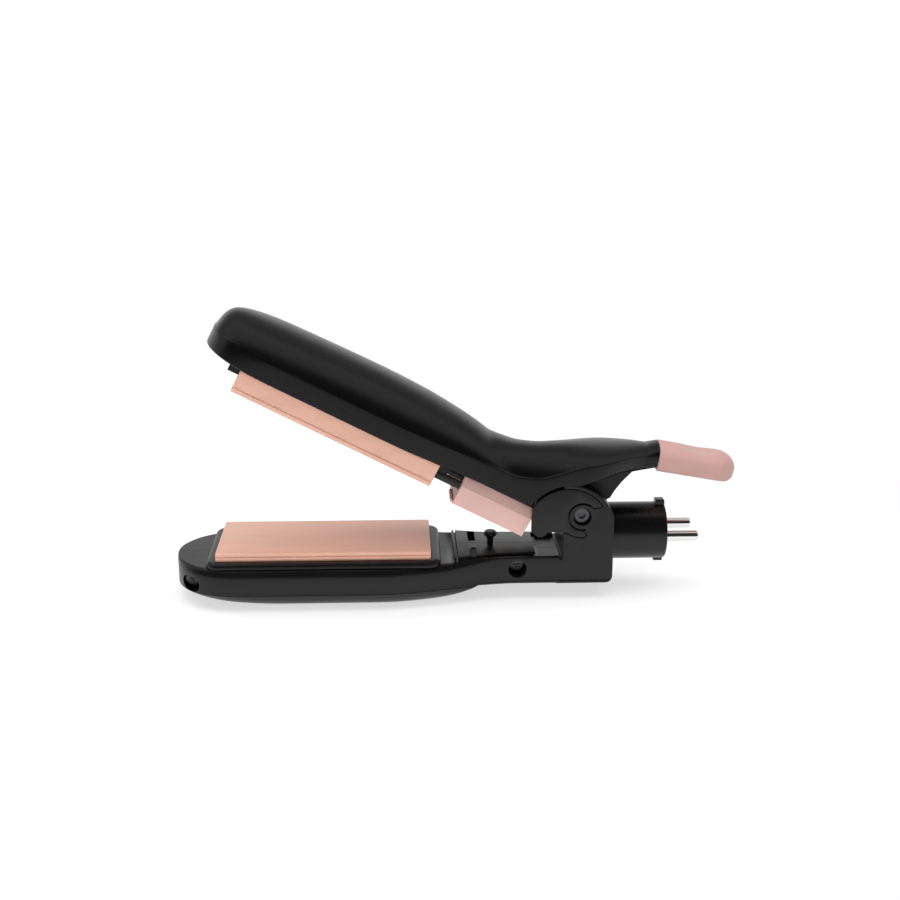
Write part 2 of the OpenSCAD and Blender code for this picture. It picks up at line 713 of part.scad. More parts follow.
// A section of the grip u along it: flat below, round above, drawn in towards its end
grip_end = 8.4;      // length over which it is drawn in
grip_end_low = 5.2;
grip_u = [0.05, 5, 9, 13, 18, 22.5, for (d = [grip_end, 6.8, grip_end_low, 3.4, 1.7, 0.6, 0.1]) grip_l - d];
grip_low = -5.1;     // the grip's underside
grip_mid = -0.5;     // height of the grip's end
function quarter(u, l) = let (t = max(0, (u - grip_l + l) / l)) sqrt(max(0.01, 1 - t * t));
// The thumb's dish: a scoop along the grip
dish_u = 18;
dish_z = 4.4;
dish_front = 0.0155;
dish_back = 0.0225;
dish_across = 0.0095;
function dish(u, y) = dish_z + dish_across * y * y + (u < dish_u ? dish_front : dish_back) * pow(u - dish_u, 2);
function grip_half(u) =
    let (w = lever_w * quarter(u, grip_end),
         top = mix(grip_mid, grip_low + grip_t, quarter(u, grip_end)),
         low = mix(grip_mid, grip_low, quarter(u, grip_end_low)),
         side_z = mix(low, top, 0.5))
    concat([[w * 0.8, low], [w * 0.96, mix(low, top, 0.06)], [w, mix(low, top, 0.2)], [w, side_z]],
           [for (a = [16, 32, 46, 58, 69, 80]) let (y = w * cos(a)) [y, min(mix(side_z, top, sin(a)), dish(u, y))]],
           [[0, min(top, dish(u, 0))]]);
function grip_ring(u) = let (half = grip_half(u), n = len(half))
    concat([for (p = half) [u, p[0], p[1]]], [for (i = [n - 2:-1:0]) [u, -half[i][0], half[i][1]]]);
module thumb_grip() {
    color(pink) opened() on_lever() difference() {
        skin([for (u = grip_u) grip_ring(u)]);
        // socket for the lever's tongue
        box([-past, -5 - fit, -2 - fit], [tongue_l + fit, 5 + fit, 2 + fit]);
    }
}

// ---------- upper arm's frame, shut ----------
frame_low = 7.9;
frame_top = frame_low + 2.4;
window_y = plate_y + clear;
carrier_tab_l = 4.8;
window_x0 = up_x0 - carrier_tab_l - clear;
window_x1 = up_x1 + carrier_tab_l + clear;
bridge_z = 16.5;
bridge_t = 2;
bridge_x = [plate_x0 + 18, plate_x1 - 18];
bridge_w = 9;
frame_inset = wall + 0.3;
// An arch over the carrier with its shoulders cut to clear the dome
function bridge_half(top, y) = let (h = [[y, frame_low], [y, top - 5], [y - 5, top]])
    concat(h, [for (i = [2:-1:0]) [-h[i][0], h[i][1]]]);
function frame_side(x) = upper_w(x, frame_inset);
backbone_y = boss_r + 2;
backbone_x1 = cover_screw_at[1][0] + boss_r + 3.4;
web_y = 6;
web_outline = [[-21.9, frame_low + 0.3], [-21.9, 22], [-17, 27.5], [-12, 31.6], [-6, 34.8], [-1.2, 37.4], [-1.6, 35.8],
               [-3.2, 30.6], [-4, 26], [-4.2, 22], [-7, 18.6], [-pivot_in, pivot_up + 0.2]];
module upper_frame() {
    rim_x = [tip_x + 5, tip_x + 8, tip_x + 12, tip_x + 18, tip_x + 25, tip_in + 5, -120, -105, -90, -80, -70, -60, -50, -37.5];
    color(dark) opened() difference() {
        union() {
            difference() {
                translate([0, 0, frame_low]) linear_extrude(frame_top - frame_low)
                    polygon(concat([for (x = rim_x) [x, frame_side(x)]],
                                   [for (i = [len(rim_x) - 1:-1:0]) [rim_x[i], -frame_side(rim_x[i])]]));
                box([up_x0 - clear, -window_y, 0], [up_x1 + clear, window_y, 20]);
                box([window_x0, -tab_y - clear, 1], [window_x1, tab_y + clear, 21]);
            }
            for (x = bridge_x) {
                translate([x - bridge_w / 2, 0, 0]) rotate([90, 0, 90]) linear_extrude(bridge_w) difference() {
                    polygon(bridge_half(bridge_z + bridge_t, window_y + 1.6));
                    translate([0, -0.01]) polygon(bridge_half(bridge_z, window_y));
                }
            }
            // backbone from the rear bridge down to the spine
            both_sides() {
                box([bridge_x[1], backbone_y, bridge_z], [backbone_x1, backbone_y + 3, bridge_z + bridge_t]);
                box([backbone_x1 - 4, backbone_y, frame_low], [backbone_x1, backbone_y + 3, bridge_z + bridge_t]);
            }
            // spine back to the knuckle
            box([cover_screw_at[1][0] + boss_r + clear, -knuckle_w / 2, frame_low],
                [-pivot_in - knuckle_r + 1, knuckle_w / 2, frame_top + 2]);
            bar_y([pivot[0], pivot[2]], knuckle_r, -knuckle_w / 2, knuckle_w / 2);
            side(web_outline, -web_y, web_y);
            side([[-32, frame_low], [-32, 15], [-22, 22], [-pivot_in - 4, 19], [-pivot_in, pivot_up], [-22, frame_low]],
                 -knuckle_w / 2, knuckle_w / 2);
        }
        // room for the coil between the two lobes
        bar_y([pivot[0], pivot[2]], coil_in + 2 * wire_r + 0.7, -coil_y - 0.5, coil_y + 0.5);
        box([-pivot_in - 8.6, -coil_y - 0.5, 0], [-pivot_in + 2, coil_y + 0.5, pivot_up]);
        // bushes' seats
        bar_y([pivot[0], pivot[2]], bush_r, -knuckle_w, knuckle_w);
        // cover screws and the leads' way
        for (p = cover_screw_at) translate([p[0], p[1], 0]) cylinder(r = screw_r + fit, h = 30);
        box([lead_up_x - 4, -lead_y - 1.2, frame_low - past], [lead_up_x + 4, lead_y + 1.2, 30]);
    }
}

bush_r = hinge_d / 2 + 1.2;
module knuckle_bushes() {
    color(tin) opened() both_sides() difference() {
        bar_y([pivot[0], pivot[2]], bush_r, coil_y + 0.5, knuckle_w / 2);
        bar_y([pivot[0], pivot[2]], hinge_d / 2 + 0.05, 0, knuckle_w);
    }
}

module cover_screws() {
    color(steel) opened() for (p = cover_screw_at) translate([p[0], p[1], 0]) {
        translate([0, 0, frame_low - 1.5]) cylinder(r = 2.6, h = 1.5);
        translate([0, 0, frame_low - 0.2]) cylinder(r = screw_r, h = 8);
    }
}

// The plate springs at their shut length, standing on the carrier
module plate_springs() {
    h = bridge_z - carrier_top - float_travel - 0.1;
    r = 2.6;
    color(steel) opened() for (x = bridge_x, s = [-1, 1]) translate([x, s * 12, carrier_top]) difference() {
        cylinder(r = r + 0.4, h = h);
        translate([0, 0, -past]) cylinder(r = r - 0.5, h = h + 2 * past);
    }
}

module upper_leads() {
    color(dark) opened() both_sides() lead([
        [lead_up_x, lead_y, carrier_z + 3], [lead_up_x, lead_y, frame_top + 3.4],
        [lead_up_x + 25, lead_y, frame_top + 5.6], [-pivot_in - 10.5, lead_y, 23.6]], lead_r);
}
lead_up_x = -58;     // where the leads rise from the carriage

// ---------- carriage under the upper arm, shut and down ----------
upper_inner = upper_face + plate_t;
carrier_z = upper_inner + heater_t + film_t + 3;     // underside of the carrier
carrier_top = upper_face + upper_side_h + 1;
tab_drop = 0.2;
carrier_y = plate_y - plate_side_t - fit;
tab_y = plate_y - 3.05;
rail_y = 9.6;
rail_t = 1.8;
rail_low = upper_face + 5.4;
rail_top = rail_low + rail_t;
rail_x1 = -29.5;
sleeve_r = 1.8;
sleeve_y = -9.3;
sleeve_z = upper_inner + sleeve_r;
slider_x1 = -31.8;
slider_x0 = slider_x1 - slider_l;
sleeve_x0 = heater_x0 + heater_l + film_over + clear;
sleeve_x1 = slider_x0 + 4.2;
module upper_plate_carrier() {
    color(black) opened() difference() {
        union() {
            box([up_x0 + fit, -carrier_y, carrier_z], [up_x1 - fit, carrier_y, carrier_top]);
            box([up_x0 - carrier_tab_l, -tab_y, carrier_z - tab_drop], [up_x0, tab_y, carrier_top - 0.4]);
            box([up_x1, -tab_y, carrier_z - tab_drop], [up_x1 + carrier_tab_l, tab_y, carrier_top - 0.4]);
            both_sides() {
                box([up_x0 - past, tab_y - 3, carrier_z + 0.2], [up_x0 + past, tab_y - 0.2, carrier_top - 0.6]);
                box([up_x1 - past, tab_y - 3, carrier_z + 0.2], [up_x1 + past, tab_y - 0.2, carrier_top - 0.6]);
            }
            // rail for the lock slider
            box([up_x1 + carrier_tab_l - past, -rail_y, rail_low], [rail_x1, rail_y, rail_top]);
            // saddle over the sleeve
            box([up_x1 - 8, sleeve_y - 2.6, upper_inner + 0.1], [up_x1 - 3, sleeve_y + 2.6, carrier_z + 0.5]);
        }
        // pocket for the slider's detent
        box([detent_x - 6, detent_y - 0.7, rail_top - 0.9], [detent_x + 6, detent_y + 0.7, rail_top + past]);
        // hollow under the springs' seats
        both_sides() box([up_x0 + 5, 5, carrier_z - past], [up_x1 - 10, carrier_y - 3, carrier_top - 1.6]);
        // ways through for the sleeve and the leads
        bar_x([sleeve_y, sleeve_z], sleeve_r + 0.05, sleeve_x0 - past, sleeve_x1 + past);
        box([lead_up_x - 2, -lead_y - 1.4, rail_low - past], [lead_up_x + 2, lead_y + 1.4, rail_top + past]);
    }
}

module upper_heating_plate() {
    color(rose) opened() translate([up_shift, 0, 0]) channel(upper_face, upper_face + upper_side_h);
}

module upper_heater() {
    color(ceramic) opened() box([heater_x0, -heater_w / 2, upper_inner],
                                [heater_x0 + heater_l, heater_w / 2, upper_inner + heater_t]);
}

module upper_insulation() {
    z = upper_inner + heater_t;
    color(amber) opened() box([heater_x0 - film_over, -heater_w / 2 - 1.5, z],
                              [heater_x0 + heater_l + film_over, heater_w / 2 + 1.5, z + film_t]);
}

module upper_heater_clip() {
    color(steel) opened() leaf(upper_inner + heater_t + film_t, carrier_z);
}

module upper_thermal_fuse() {
    color(ceramic) opened() bar_x([heater_w / 2 + 5, upper_inner + fuse_r], fuse_r, plate_mid - fuse_l / 2, plate_mid + fuse_l / 2);
}

module cable_sleeve() {
    color(dark) opened() difference() {
        bar_x([sleeve_y, sleeve_z], sleeve_r, sleeve_x0, sleeve_x1);
        bar_x([sleeve_y, sleeve_z], lead_r, sleeve_x0 - past, sleeve_x1 + past);
    }
}

// ---------- lock slider ----------
slider_low = -platform_drop + 0.25 - float_travel;
slider_shoulder = slider_low + 8.4;
slider_top = rail_top + 1.4;
slider_chamfer = 2.4;
slider_lip = 1.8;
module lock_slider() {
    y = slider_w / 2;
    head_z = peg_top - float_travel;
    color(pink) opened() difference() {
        union() {
            difference() {
                slider_form(0);
                // hollow between the side walls
                translate([slider_x0 + slider_t, 0, 0]) rotate([90, 0, 90]) linear_extrude(slider_l) {
                    w = y - slider_t;
                    polygon([[-w, slider_low + slider_t], [w, slider_low + slider_t], [w, slider_shoulder - 0.8],
                             [rail_y + 0.25, rail_low - 0.15], [rail_y + 0.25, rail_top + 0.15],
                             [-rail_y - 0.25, rail_top + 0.15], [-rail_y - 0.25, rail_low - 0.15],
                             [-w, slider_shoulder - 0.8]]);
                }
                box([slider_x0 - past, -rail_y + slider_lip, rail_low], [slider_x1 + past, rail_y - slider_lip, 30]);
            }
            // ledges that hold the slider up against the rail
            both_sides() box([slider_x0 + 4, rail_y - 1, rail_low - 1.2], [slider_x1 - 2, y - slider_t, rail_low - 0.15]);
        }
        // mouth for the rail and the sleeve in the end wall
        box([slider_x0 - past, -rail_y - 0.25, rail_low - 0.15], [slider_x0 + slider_t + past, rail_y + 0.25, rail_top + 0.15]);
        box([slider_x0 - past, sleeve_y - sleeve_r - 0.4, sleeve_z - sleeve_r - 0.4],
            [slider_x0 + 4 + past, sleeve_y + sleeve_r + 0.4, rail_low]);
        // keyhole for the lock peg: wide where the head enters, narrow where it holds
        for (dx = [0, 2.6])
            translate([peg_x + dx, 0, slider_low - past]) cylinder(r = peg_head_r + 0.6, h = slider_t + 2 * past);
        box([peg_x, -peg_head_r - 0.6, slider_low - past],
            [peg_x + 2.6, peg_head_r + 0.6, slider_low + slider_t + past]);
        box([peg_x - slider_travel, -peg_stem_r - 0.3, slider_low - past],
            [peg_x, peg_stem_r + 0.3, slider_low + slider_t + past]);
        translate([peg_x - slider_travel, 0, slider_low - past])
            cylinder(r = peg_stem_r + 0.3, h = slider_t + 2 * past);
    }
}

module slider_form(inset) {
    y = slider_w / 2 - inset;
    translate([slider_x0, 0, 0]) rotate([90, 0, 90]) linear_extrude(slider_l)
        polygon([[-y, slider_low], [y, slider_low], [y, slider_shoulder], [y - slider_chamfer, slider_top],
                 [-y + slider_chamfer, slider_top], [-y, slider_shoulder]]);
}

detent_x = -44;
detent_y = 8.7;
module detent_spring() {
    z = rail_top - 0.9;
    low = [[-5, 0], [-2.6, 0], [0, 0.55], [2.6, 0], [5, 0]];
    color(steel) opened() side(concat([for (p = low) [detent_x + p[0], z + p[1]]],
                                      [for (i = [len(low) - 1:-1:0]) [detent_x + low[i][0], z + low[i][1] + 0.4]]),
                               detent_y - 0.6, detent_y + 0.6);
}

lower_shell_near();
lower_shell_far();
lower_plate_tray();
lower_heating_plate();
lower_heater();
lower_insulation();
lower_heater_clip();
lower_thermal_fuse();
lower_leads();
lock_peg();
hinge_cheek_near();
hinge_cheek_far();
hinge_screw();
casing_screws();
torsion_spring();
spigot_body();
contact_carrier();
contact_pins();
crimp_terminals();
upper_cover();
upper_frame();
thumb_grip();
knuckle_bushes();
cover_screws();
plate_springs();
upper_leads();
upper_plate_carrier();
upper_heating_plate();
upper_heater();
upper_insulation();
upper_heater_clip();
upper_thermal_fuse();
cable_sleeve();
lock_slider();
detent_spring();
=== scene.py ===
"""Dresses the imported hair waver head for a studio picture."""

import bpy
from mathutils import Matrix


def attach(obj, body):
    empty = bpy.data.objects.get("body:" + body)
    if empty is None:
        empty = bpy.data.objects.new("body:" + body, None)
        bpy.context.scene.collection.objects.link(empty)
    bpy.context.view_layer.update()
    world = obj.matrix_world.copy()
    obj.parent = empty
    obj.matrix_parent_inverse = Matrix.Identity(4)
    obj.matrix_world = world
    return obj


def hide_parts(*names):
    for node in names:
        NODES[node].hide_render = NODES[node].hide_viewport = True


bl_info = {
    "name": "Hair waver head",
    "version": (1, 0, 0),
    "blender": (4, 5, 0),
    "location": "View3D > Sidebar > Waver",
    "description": "Builds the shells, plates, grips and finishes of a plug-in hair waver head",
    "category": "Object",
}

import math

import bmesh
import bpy
import numpy as np
from bpy.props import FloatProperty, FloatVectorProperty, PointerProperty
from mathutils import Matrix, Vector

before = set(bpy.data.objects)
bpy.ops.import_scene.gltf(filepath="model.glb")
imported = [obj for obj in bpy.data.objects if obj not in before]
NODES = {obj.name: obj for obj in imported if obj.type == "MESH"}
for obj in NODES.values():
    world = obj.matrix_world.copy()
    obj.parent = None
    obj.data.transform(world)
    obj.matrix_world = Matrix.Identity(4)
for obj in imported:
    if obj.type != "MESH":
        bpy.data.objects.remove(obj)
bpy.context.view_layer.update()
MM = 0.001

# The hinge, and the turn that opens the upper arm from its shut place, in millimetres and degrees
PIVOT = Vector((-13.5, 0.0, 11.7))
OPEN = Matrix.Translation(PIVOT) @ Matrix.Rotation(math.radians(27.2), 4, "Y") @ Matrix.Translation(-PIVOT)
TIP_X, TIP_IN, HALF_W = -185.0, -155.0, 27.0     # the arms' tip, the end of its rounding, and half their width
WALL = 2.2


# ---------- sizes and colours ----------
class WaverSizes(bpy.types.PropertyGroup):
    edge_round: FloatProperty(
        name="Edge rounding", description="Rounding that the finishes give to moulded edges",
        default=0.0005, min=0.0001, max=0.001, unit="LENGTH")
    groove_depth: FloatProperty(
        name="Plate groove", description="Depth of the groove along the plates' sides",
        default=0.0004, min=0.0, max=0.001, unit="LENGTH")
    rib_pitch: FloatProperty(
        name="Rib pitch", description="Width of a ridge on the slider's end, and of the gap beside it",
        default=0.0016, min=0.001, max=0.003, unit="LENGTH")


class WaverColours(bpy.types.PropertyGroup):
    shell: FloatVectorProperty(name="Shell", description="Colour of the black shells", subtype="COLOR",
                               default=(0.003, 0.003, 0.0033), min=0, max=1)
    plate: FloatVectorProperty(name="Plate", description="Colour of the plates' coating", subtype="COLOR",
                               default=(0.68, 0.385, 0.285), min=0, max=1)
    slider: FloatVectorProperty(name="Slider", description="Colour of the lock slider", subtype="COLOR",
                                default=(0.63, 0.40, 0.36), min=0, max=1)
    grip: FloatVectorProperty(name="Grip", description="Colour of the soft thumb grip", subtype="COLOR",
                              default=(0.44, 0.265, 0.235), min=0, max=1)


def sizes():
    return bpy.context.scene.waver_sizes


def colours():
    return bpy.context.scene.waver_colours


# ---------- shapes in code, all in millimetres ----------
def smooth_table(table, x):
    """A smooth curve through (x, value) pairs that doesn't overshoot."""
    t = np.asarray(table, float)
    xs, ys = t[:, 0], t[:, 1]
    d = np.diff(ys) / np.diff(xs)
    inner = np.where(d[1:] * d[:-1] > 0, 2 * d[1:] * d[:-1] / (d[1:] + d[:-1] + 1e-12), 0)
    m = np.concatenate([[d[0]], inner, [d[-1]]])
    x = min(max(x, xs[0]), xs[-1])
    i = min(max(int(np.searchsorted(xs, x)) - 1, 0), len(d) - 1)
    h = xs[i + 1] - xs[i]
    u = (x - xs[i]) / h
    return float(ys[i] * (1 + 2 * u) * (1 - u) ** 2 + ys[i + 1] * u * u * (3 - 2 * u)
                 + h * m[i] * u * (1 - u) ** 2 - h * m[i + 1] * u * u * (1 - u))


def ease(t):
    t = min(max(t, 0.0), 1.0)
    return t * t * (3 - 2 * t)


def mix(a, b, t):
    return a + (b - a) * t


def arc(cx, cy, r, a0, a1, n):
    return [(cx + r * math.cos(math.radians(a0 + (a1 - a0) * i / n)),
             cy + r * math.sin(math.radians(a0 + (a1 - a0) * i / n))) for i in range(n + 1)]


def rounded(points, r, n=5):
    """A closed outline with its corners rounded. r is one radius, or one for each point."""
    out = []
    count = len(points)
    for i, p in enumerate(points):
        radius = r[i] if isinstance(r, (list, tuple)) else r
        a, b, c = Vector(points[i - 1]), Vector(p), Vector(points[(i + 1) % count])
        u, v = (a - b), (c - b)
        turn = u.angle(v) if u.length and v.length else math.pi
        if radius <= 0 or turn > math.pi - 0.05:
            out.append(tuple(b))
            continue
        reach = min(radius / math.tan(turn / 2), 0.49 * u.length, 0.49 * v.length)
        u.normalize()
        v.normalize()
        s, e = b + u * reach, b + v * reach
        for k in range(n + 1):
            t = k / n
            out.append(tuple((1 - t) ** 2 * s + 2 * t * (1 - t) * b + t * t * e))
    return out


def piece(name, bm, turned=False):
    """An object made from a bmesh in millimetres. turned pieces are drawn shut and then opened."""
    bmesh.ops.recalc_face_normals(bm, faces=bm.faces)
    mesh = bpy.data.meshes.new(name)
    bm.to_mesh(mesh)
    bm.free()
    if turned:
        mesh.transform(OPEN)
    mesh.transform(Matrix.Scale(MM, 4))
    obj = bpy.data.objects.new(name, mesh)
    bpy.context.scene.collection.objects.link(obj)
    return obj


def loft(rings):
    """A closed skin through rings of equally many points."""
    bm = bmesh.new()
    rows = [[bm.verts.new(p) for p in ring] for ring in rings]
    n = len(rows[0])
    for a, b in zip(rows[:-1], rows[1:]):
        for i in range(n):
            j = (i + 1) % n
            bm.faces.new((a[i], a[j], b[j], b[i]))
    bm.faces.new(rows[0][::-1])
    bm.faces.new(rows[-1])
    bmesh.ops.recalc_face_normals(bm, faces=bm.faces)
    return bm


def extrude(outline, low, high, axis, soft=0.0, steps=3):
    """An outline extruded along Y (points are x, z), Z (x, y) or X (y, z), with its two rims rounded."""
    def place(p, h):
        return {"Y": (p[0], h, p[1]), "Z": (p[0], p[1], h), "X": (h, p[0], p[1])}[axis]
    bm = bmesh.new()
    a = [bm.verts.new(place(p, low)) for p in outline]
    b = [bm.verts.new(place(p, high)) for p in outline]
    n = len(outline)
    for i in range(n):
        bm.faces.new((a[i], a[(i + 1) % n], b[(i + 1) % n], b[i]))
    caps = [bm.faces.new(a[::-1]), bm.faces.new(b)]
    bmesh.ops.recalc_face_normals(bm, faces=bm.faces)
    if soft > 0:
        rims = [e for f in caps for e in f.edges]
        bmesh.ops.bevel(bm, geom=rims, offset=soft, segments=steps, profile=0.5, affect="EDGES",
                        clamp_overlap=False)
    return bm


def box(low, high, soft=0.0):
    bm = bmesh.new()
    bmesh.ops.create_cube(bm, size=1)
    for v in bm.verts:
        v.co = Vector([mix(low[k], high[k], v.co[k] + 0.5) for k in range(3)])
    if soft > 0:
        bmesh.ops.bevel(bm, geom=bm.edges[:], offset=soft, segments=3, profile=0.5, affect="EDGES",
                        clamp_overlap=True)
    return bm


def lathe(profile, at, axis, steps=72):
    """A round solid from (radius, along) pairs, about an axis through at."""
    turn = {"X": Matrix.Rotation(math.radians(90), 4, "Y"), "Y": Matrix.Rotation(math.radians(-90), 4, "X"),
            "Z": Matrix.Identity(4)}[axis]
    rings = []
    for r, h in profile:
        rings.append([turn @ Vector((max(r, 1e-3) * math.cos(2 * math.pi * i / steps),
                                     max(r, 1e-3) * math.sin(2 * math.pi * i / steps), h)) + Vector(at)
                      for i in range(steps)])
    return loft(rings)


def joined(parts):
    """One bmesh made of several, which it takes over."""
    whole = bmesh.new()
    for part in parts:
        mesh = bpy.data.meshes.new("part")
        part.to_mesh(mesh)
        part.free()
        whole.from_mesh(mesh)
        bpy.data.meshes.remove(mesh)
    return whole


def solid(name, bm):
    """A scratch object for cutting with, in millimetres."""
    bmesh.ops.recalc_face_normals(bm, faces=bm.faces)
    mesh = bpy.data.meshes.new(name)
    bm.to_mesh(mesh)
    bm.free()
    obj = bpy.data.objects.new(name, mesh)
    bpy.context.scene.collection.objects.link(obj)
    return obj


def carve(body, steps):
    """Runs a list of ("UNION" | "DIFFERENCE" | "INTERSECT", bmesh) on a bmesh and returns the new one."""
    base = solid("carving", body)
    tools = []
    for i, (how, tool) in enumerate(steps):
        cutter = solid(f"cutter_{i}", tool)
        tools.append(cutter)
        m = base.modifiers.new(f"step_{i}", "BOOLEAN")
        m.operation = how
        m.solver = "MANIFOLD"
        m.object = cutter
    bpy.context.view_layer.update()
    made = bpy.data.meshes.new_from_object(base.evaluated_get(bpy.context.evaluated_depsgraph_get()))
    out = bmesh.new()
    out.from_mesh(made)
    for o in tools + [base]:
        old = o.data
        bpy.data.objects.remove(o)
        bpy.data.meshes.remove(old)
    bpy.data.meshes.remove(made)
    if not out.faces:
        raise RuntimeError("a carved piece came out empty")
    return out


def shade(obj, angle=32):
    """Smooth faces with hard lines only where the surface turns by more than angle."""
    bm = bmesh.new()
    bm.from_mesh(obj.data)
    limit = math.radians(angle)
    for f in bm.faces:
        f.smooth = True
    for e in bm.edges:
        e.smooth = not (len(e.link_faces) == 2 and e.calc_face_angle(0) > limit)
    bm.to_mesh(obj.data)
    bm.free()
    return obj


def dress(obj, body, material, slot, *nodes):
    """Gives a new piece its finish and body, and lets it stand for CAD nodes."""
    obj.data.materials.clear()
    obj.data.materials.append(material)
    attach(obj, body)
    if nodes:
        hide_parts(*nodes)
    return obj


def soften(node, width, material, angle=35, steps=2):
    """Keeps a CAD node, with its edges rounded and a new finish."""
    obj = NODES[node]
    finish(node, material)
    weld = obj.modifiers.new("weld", "WELD")
    weld.merge_threshold = 2e-6
    m = obj.modifiers.new("round edges", "BEVEL")
    m.width, m.segments, m.limit_method, m.angle_limit = width * MM, steps, "ANGLE", math.radians(angle)
    m.use_clamp_overlap = True
    m.harden_normals = False
    for f in obj.data.polygons:
        f.use_smooth = True
    n = obj.modifiers.new("even normals", "WEIGHTED_NORMAL")
    n.keep_sharp = True
    return obj


def finish(node, material):
    obj = NODES[node]
    obj.data.materials.clear()
    obj.data.materials.append(material)
    return obj


# ---------- finishes ----------
class Finish:
    """A material built node by node."""

    def __init__(self, name):
        self.material = bpy.data.materials.new(name)
        self.material.use_nodes = True
        self.tree = self.material.node_tree
        self.tree.nodes.clear()
        self.out = self.tree.nodes.new("ShaderNodeOutputMaterial")
        self.skin = self.tree.nodes.new("ShaderNodeBsdfPrincipled")
        self.tree.links.new(self.skin.outputs["BSDF"], self.out.inputs["Surface"])
        self.coords = self.tree.nodes.new("ShaderNodeTexCoord").outputs["Object"]

    def set(self, **values):
        names = {"roughness": "Roughness", "metallic": "Metallic", "shine": "Specular IOR Level",
                 "coat": "Coat Weight", "coat_roughness": "Coat Roughness", "sheen": "Sheen Weight",
                 "sheen_roughness": "Sheen Roughness"}
        for key, value in values.items():
            self.skin.inputs[names[key]].default_value = value
        return self

    def noise(self, scale, detail=3.0, rough=0.5, stretch=None):
        n = self.tree.nodes.new("ShaderNodeTexNoise")
        n.inputs["Scale"].default_value = scale
        n.inputs["Detail"].default_value = detail
        n.inputs["Roughness"].default_value = rough
        source = self.coords
        if stretch:
            m = self.tree.nodes.new("ShaderNodeMapping")
            m.inputs["Scale"].default_value = stretch
            self.tree.links.new(source, m.inputs["Vector"])
            source = m.outputs["Vector"]
        self.tree.links.new(source, n.inputs["Vector"])
        return n.outputs["Fac"]

    def ranged(self, value, low, high):
        n = self.tree.nodes.new("ShaderNodeMapRange")
        n.inputs["To Min"].default_value = low
        n.inputs["To Max"].default_value = high
        n.inputs["From Min"].default_value = 0.3
        n.inputs["From Max"].default_value = 0.7
        self.tree.links.new(value, n.inputs["Value"])
        return n.outputs["Result"]

    def vary(self, socket, value, low, high):
        self.tree.links.new(self.ranged(value, low, high), self.skin.inputs[socket])
        return self

    def tint(self, a, b, value):
        n = self.tree.nodes.new("ShaderNodeMix")
        n.data_type = "RGBA"
        n.inputs["A"].default_value = (*a, 1.0)
        n.inputs["B"].default_value = (*b, 1.0)
        self.tree.links.new(self.ranged(value, 0.0, 1.0), n.inputs["Factor"])
        self.tree.links.new(n.outputs["Result"], self.skin.inputs["Base Color"])
        return self

    def grain(self, value, depth, strength=0.3, round_edges=0.0):
        bump = self.tree.nodes.new("ShaderNodeBump")
        bump.inputs["Strength"].default_value = strength
        bump.inputs["Distance"].default_value = depth
        self.tree.links.new(value, bump.inputs["Height"])
        if round_edges:
            bevel = self.tree.nodes.new("ShaderNodeBevel")
            bevel.samples = 6
            bevel.inputs["Radius"].default_value = round_edges
            self.tree.links.new(bevel.outputs["Normal"], bump.inputs["Normal"])
        self.tree.links.new(bump.outputs["Normal"], self.skin.inputs["Normal"])
        return self


FINISHES = {}


def moulded_black(name, colour, low, high, edge, shine=0.36):
    f = Finish(name).set(roughness=0.4, shine=shine)
    fine, broad = f.noise(9000, 2.0), f.noise(60, 4.0)
    f.tint(colour, [c * 1.35 for c in colour], broad)
    f.vary("Roughness", broad, low, high)
    f.grain(fine, 0.00002, 0.25, edge)
    return f.material


def coated_plate(name, colour):
    f = Finish(name).set(metallic=0.12, shine=0.5, coat=0.15, coat_roughness=0.25)
    streaks, fleck = f.noise(300, 3.0, 0.5, (0.15, 1.0, 1.0)), f.noise(14000, 2.0)
    f.tint([c * 0.95 for c in colour], [min(1.0, c * 1.05) for c in colour], streaks)
    f.vary("Roughness", streaks, 0.36, 0.44)
    f.grain(fleck, 0.00001, 0.3, sizes().edge_round)
    return f.material


def soft_plastic(name, colour, low, high, shine=0.35, sheen=0.0):
    f = Finish(name).set(shine=shine, sheen=sheen, sheen_roughness=0.4)
    broad, fine = f.noise(90, 4.0), f.noise(11000, 2.0)
    f.tint([c * 0.96 for c in colour], [min(1.0, c * 1.04) for c in colour], broad)
    f.vary("Roughness", broad, low, high)
    f.grain(fine, 0.00002, 0.3, sizes().edge_round)
    return f.material


def bare_metal(name, colour, low, high, stretch=(1, 1, 1), metallic=1.0):
    f = Finish(name).set(metallic=metallic)
    lines = f.noise(2500, 3.0, 0.6, stretch)
    f.tint([c * 0.93 for c in colour], colour, lines)
    f.vary("Roughness", lines, low, high)
    f.grain(lines, 0.000008, 0.2)
    return f.material


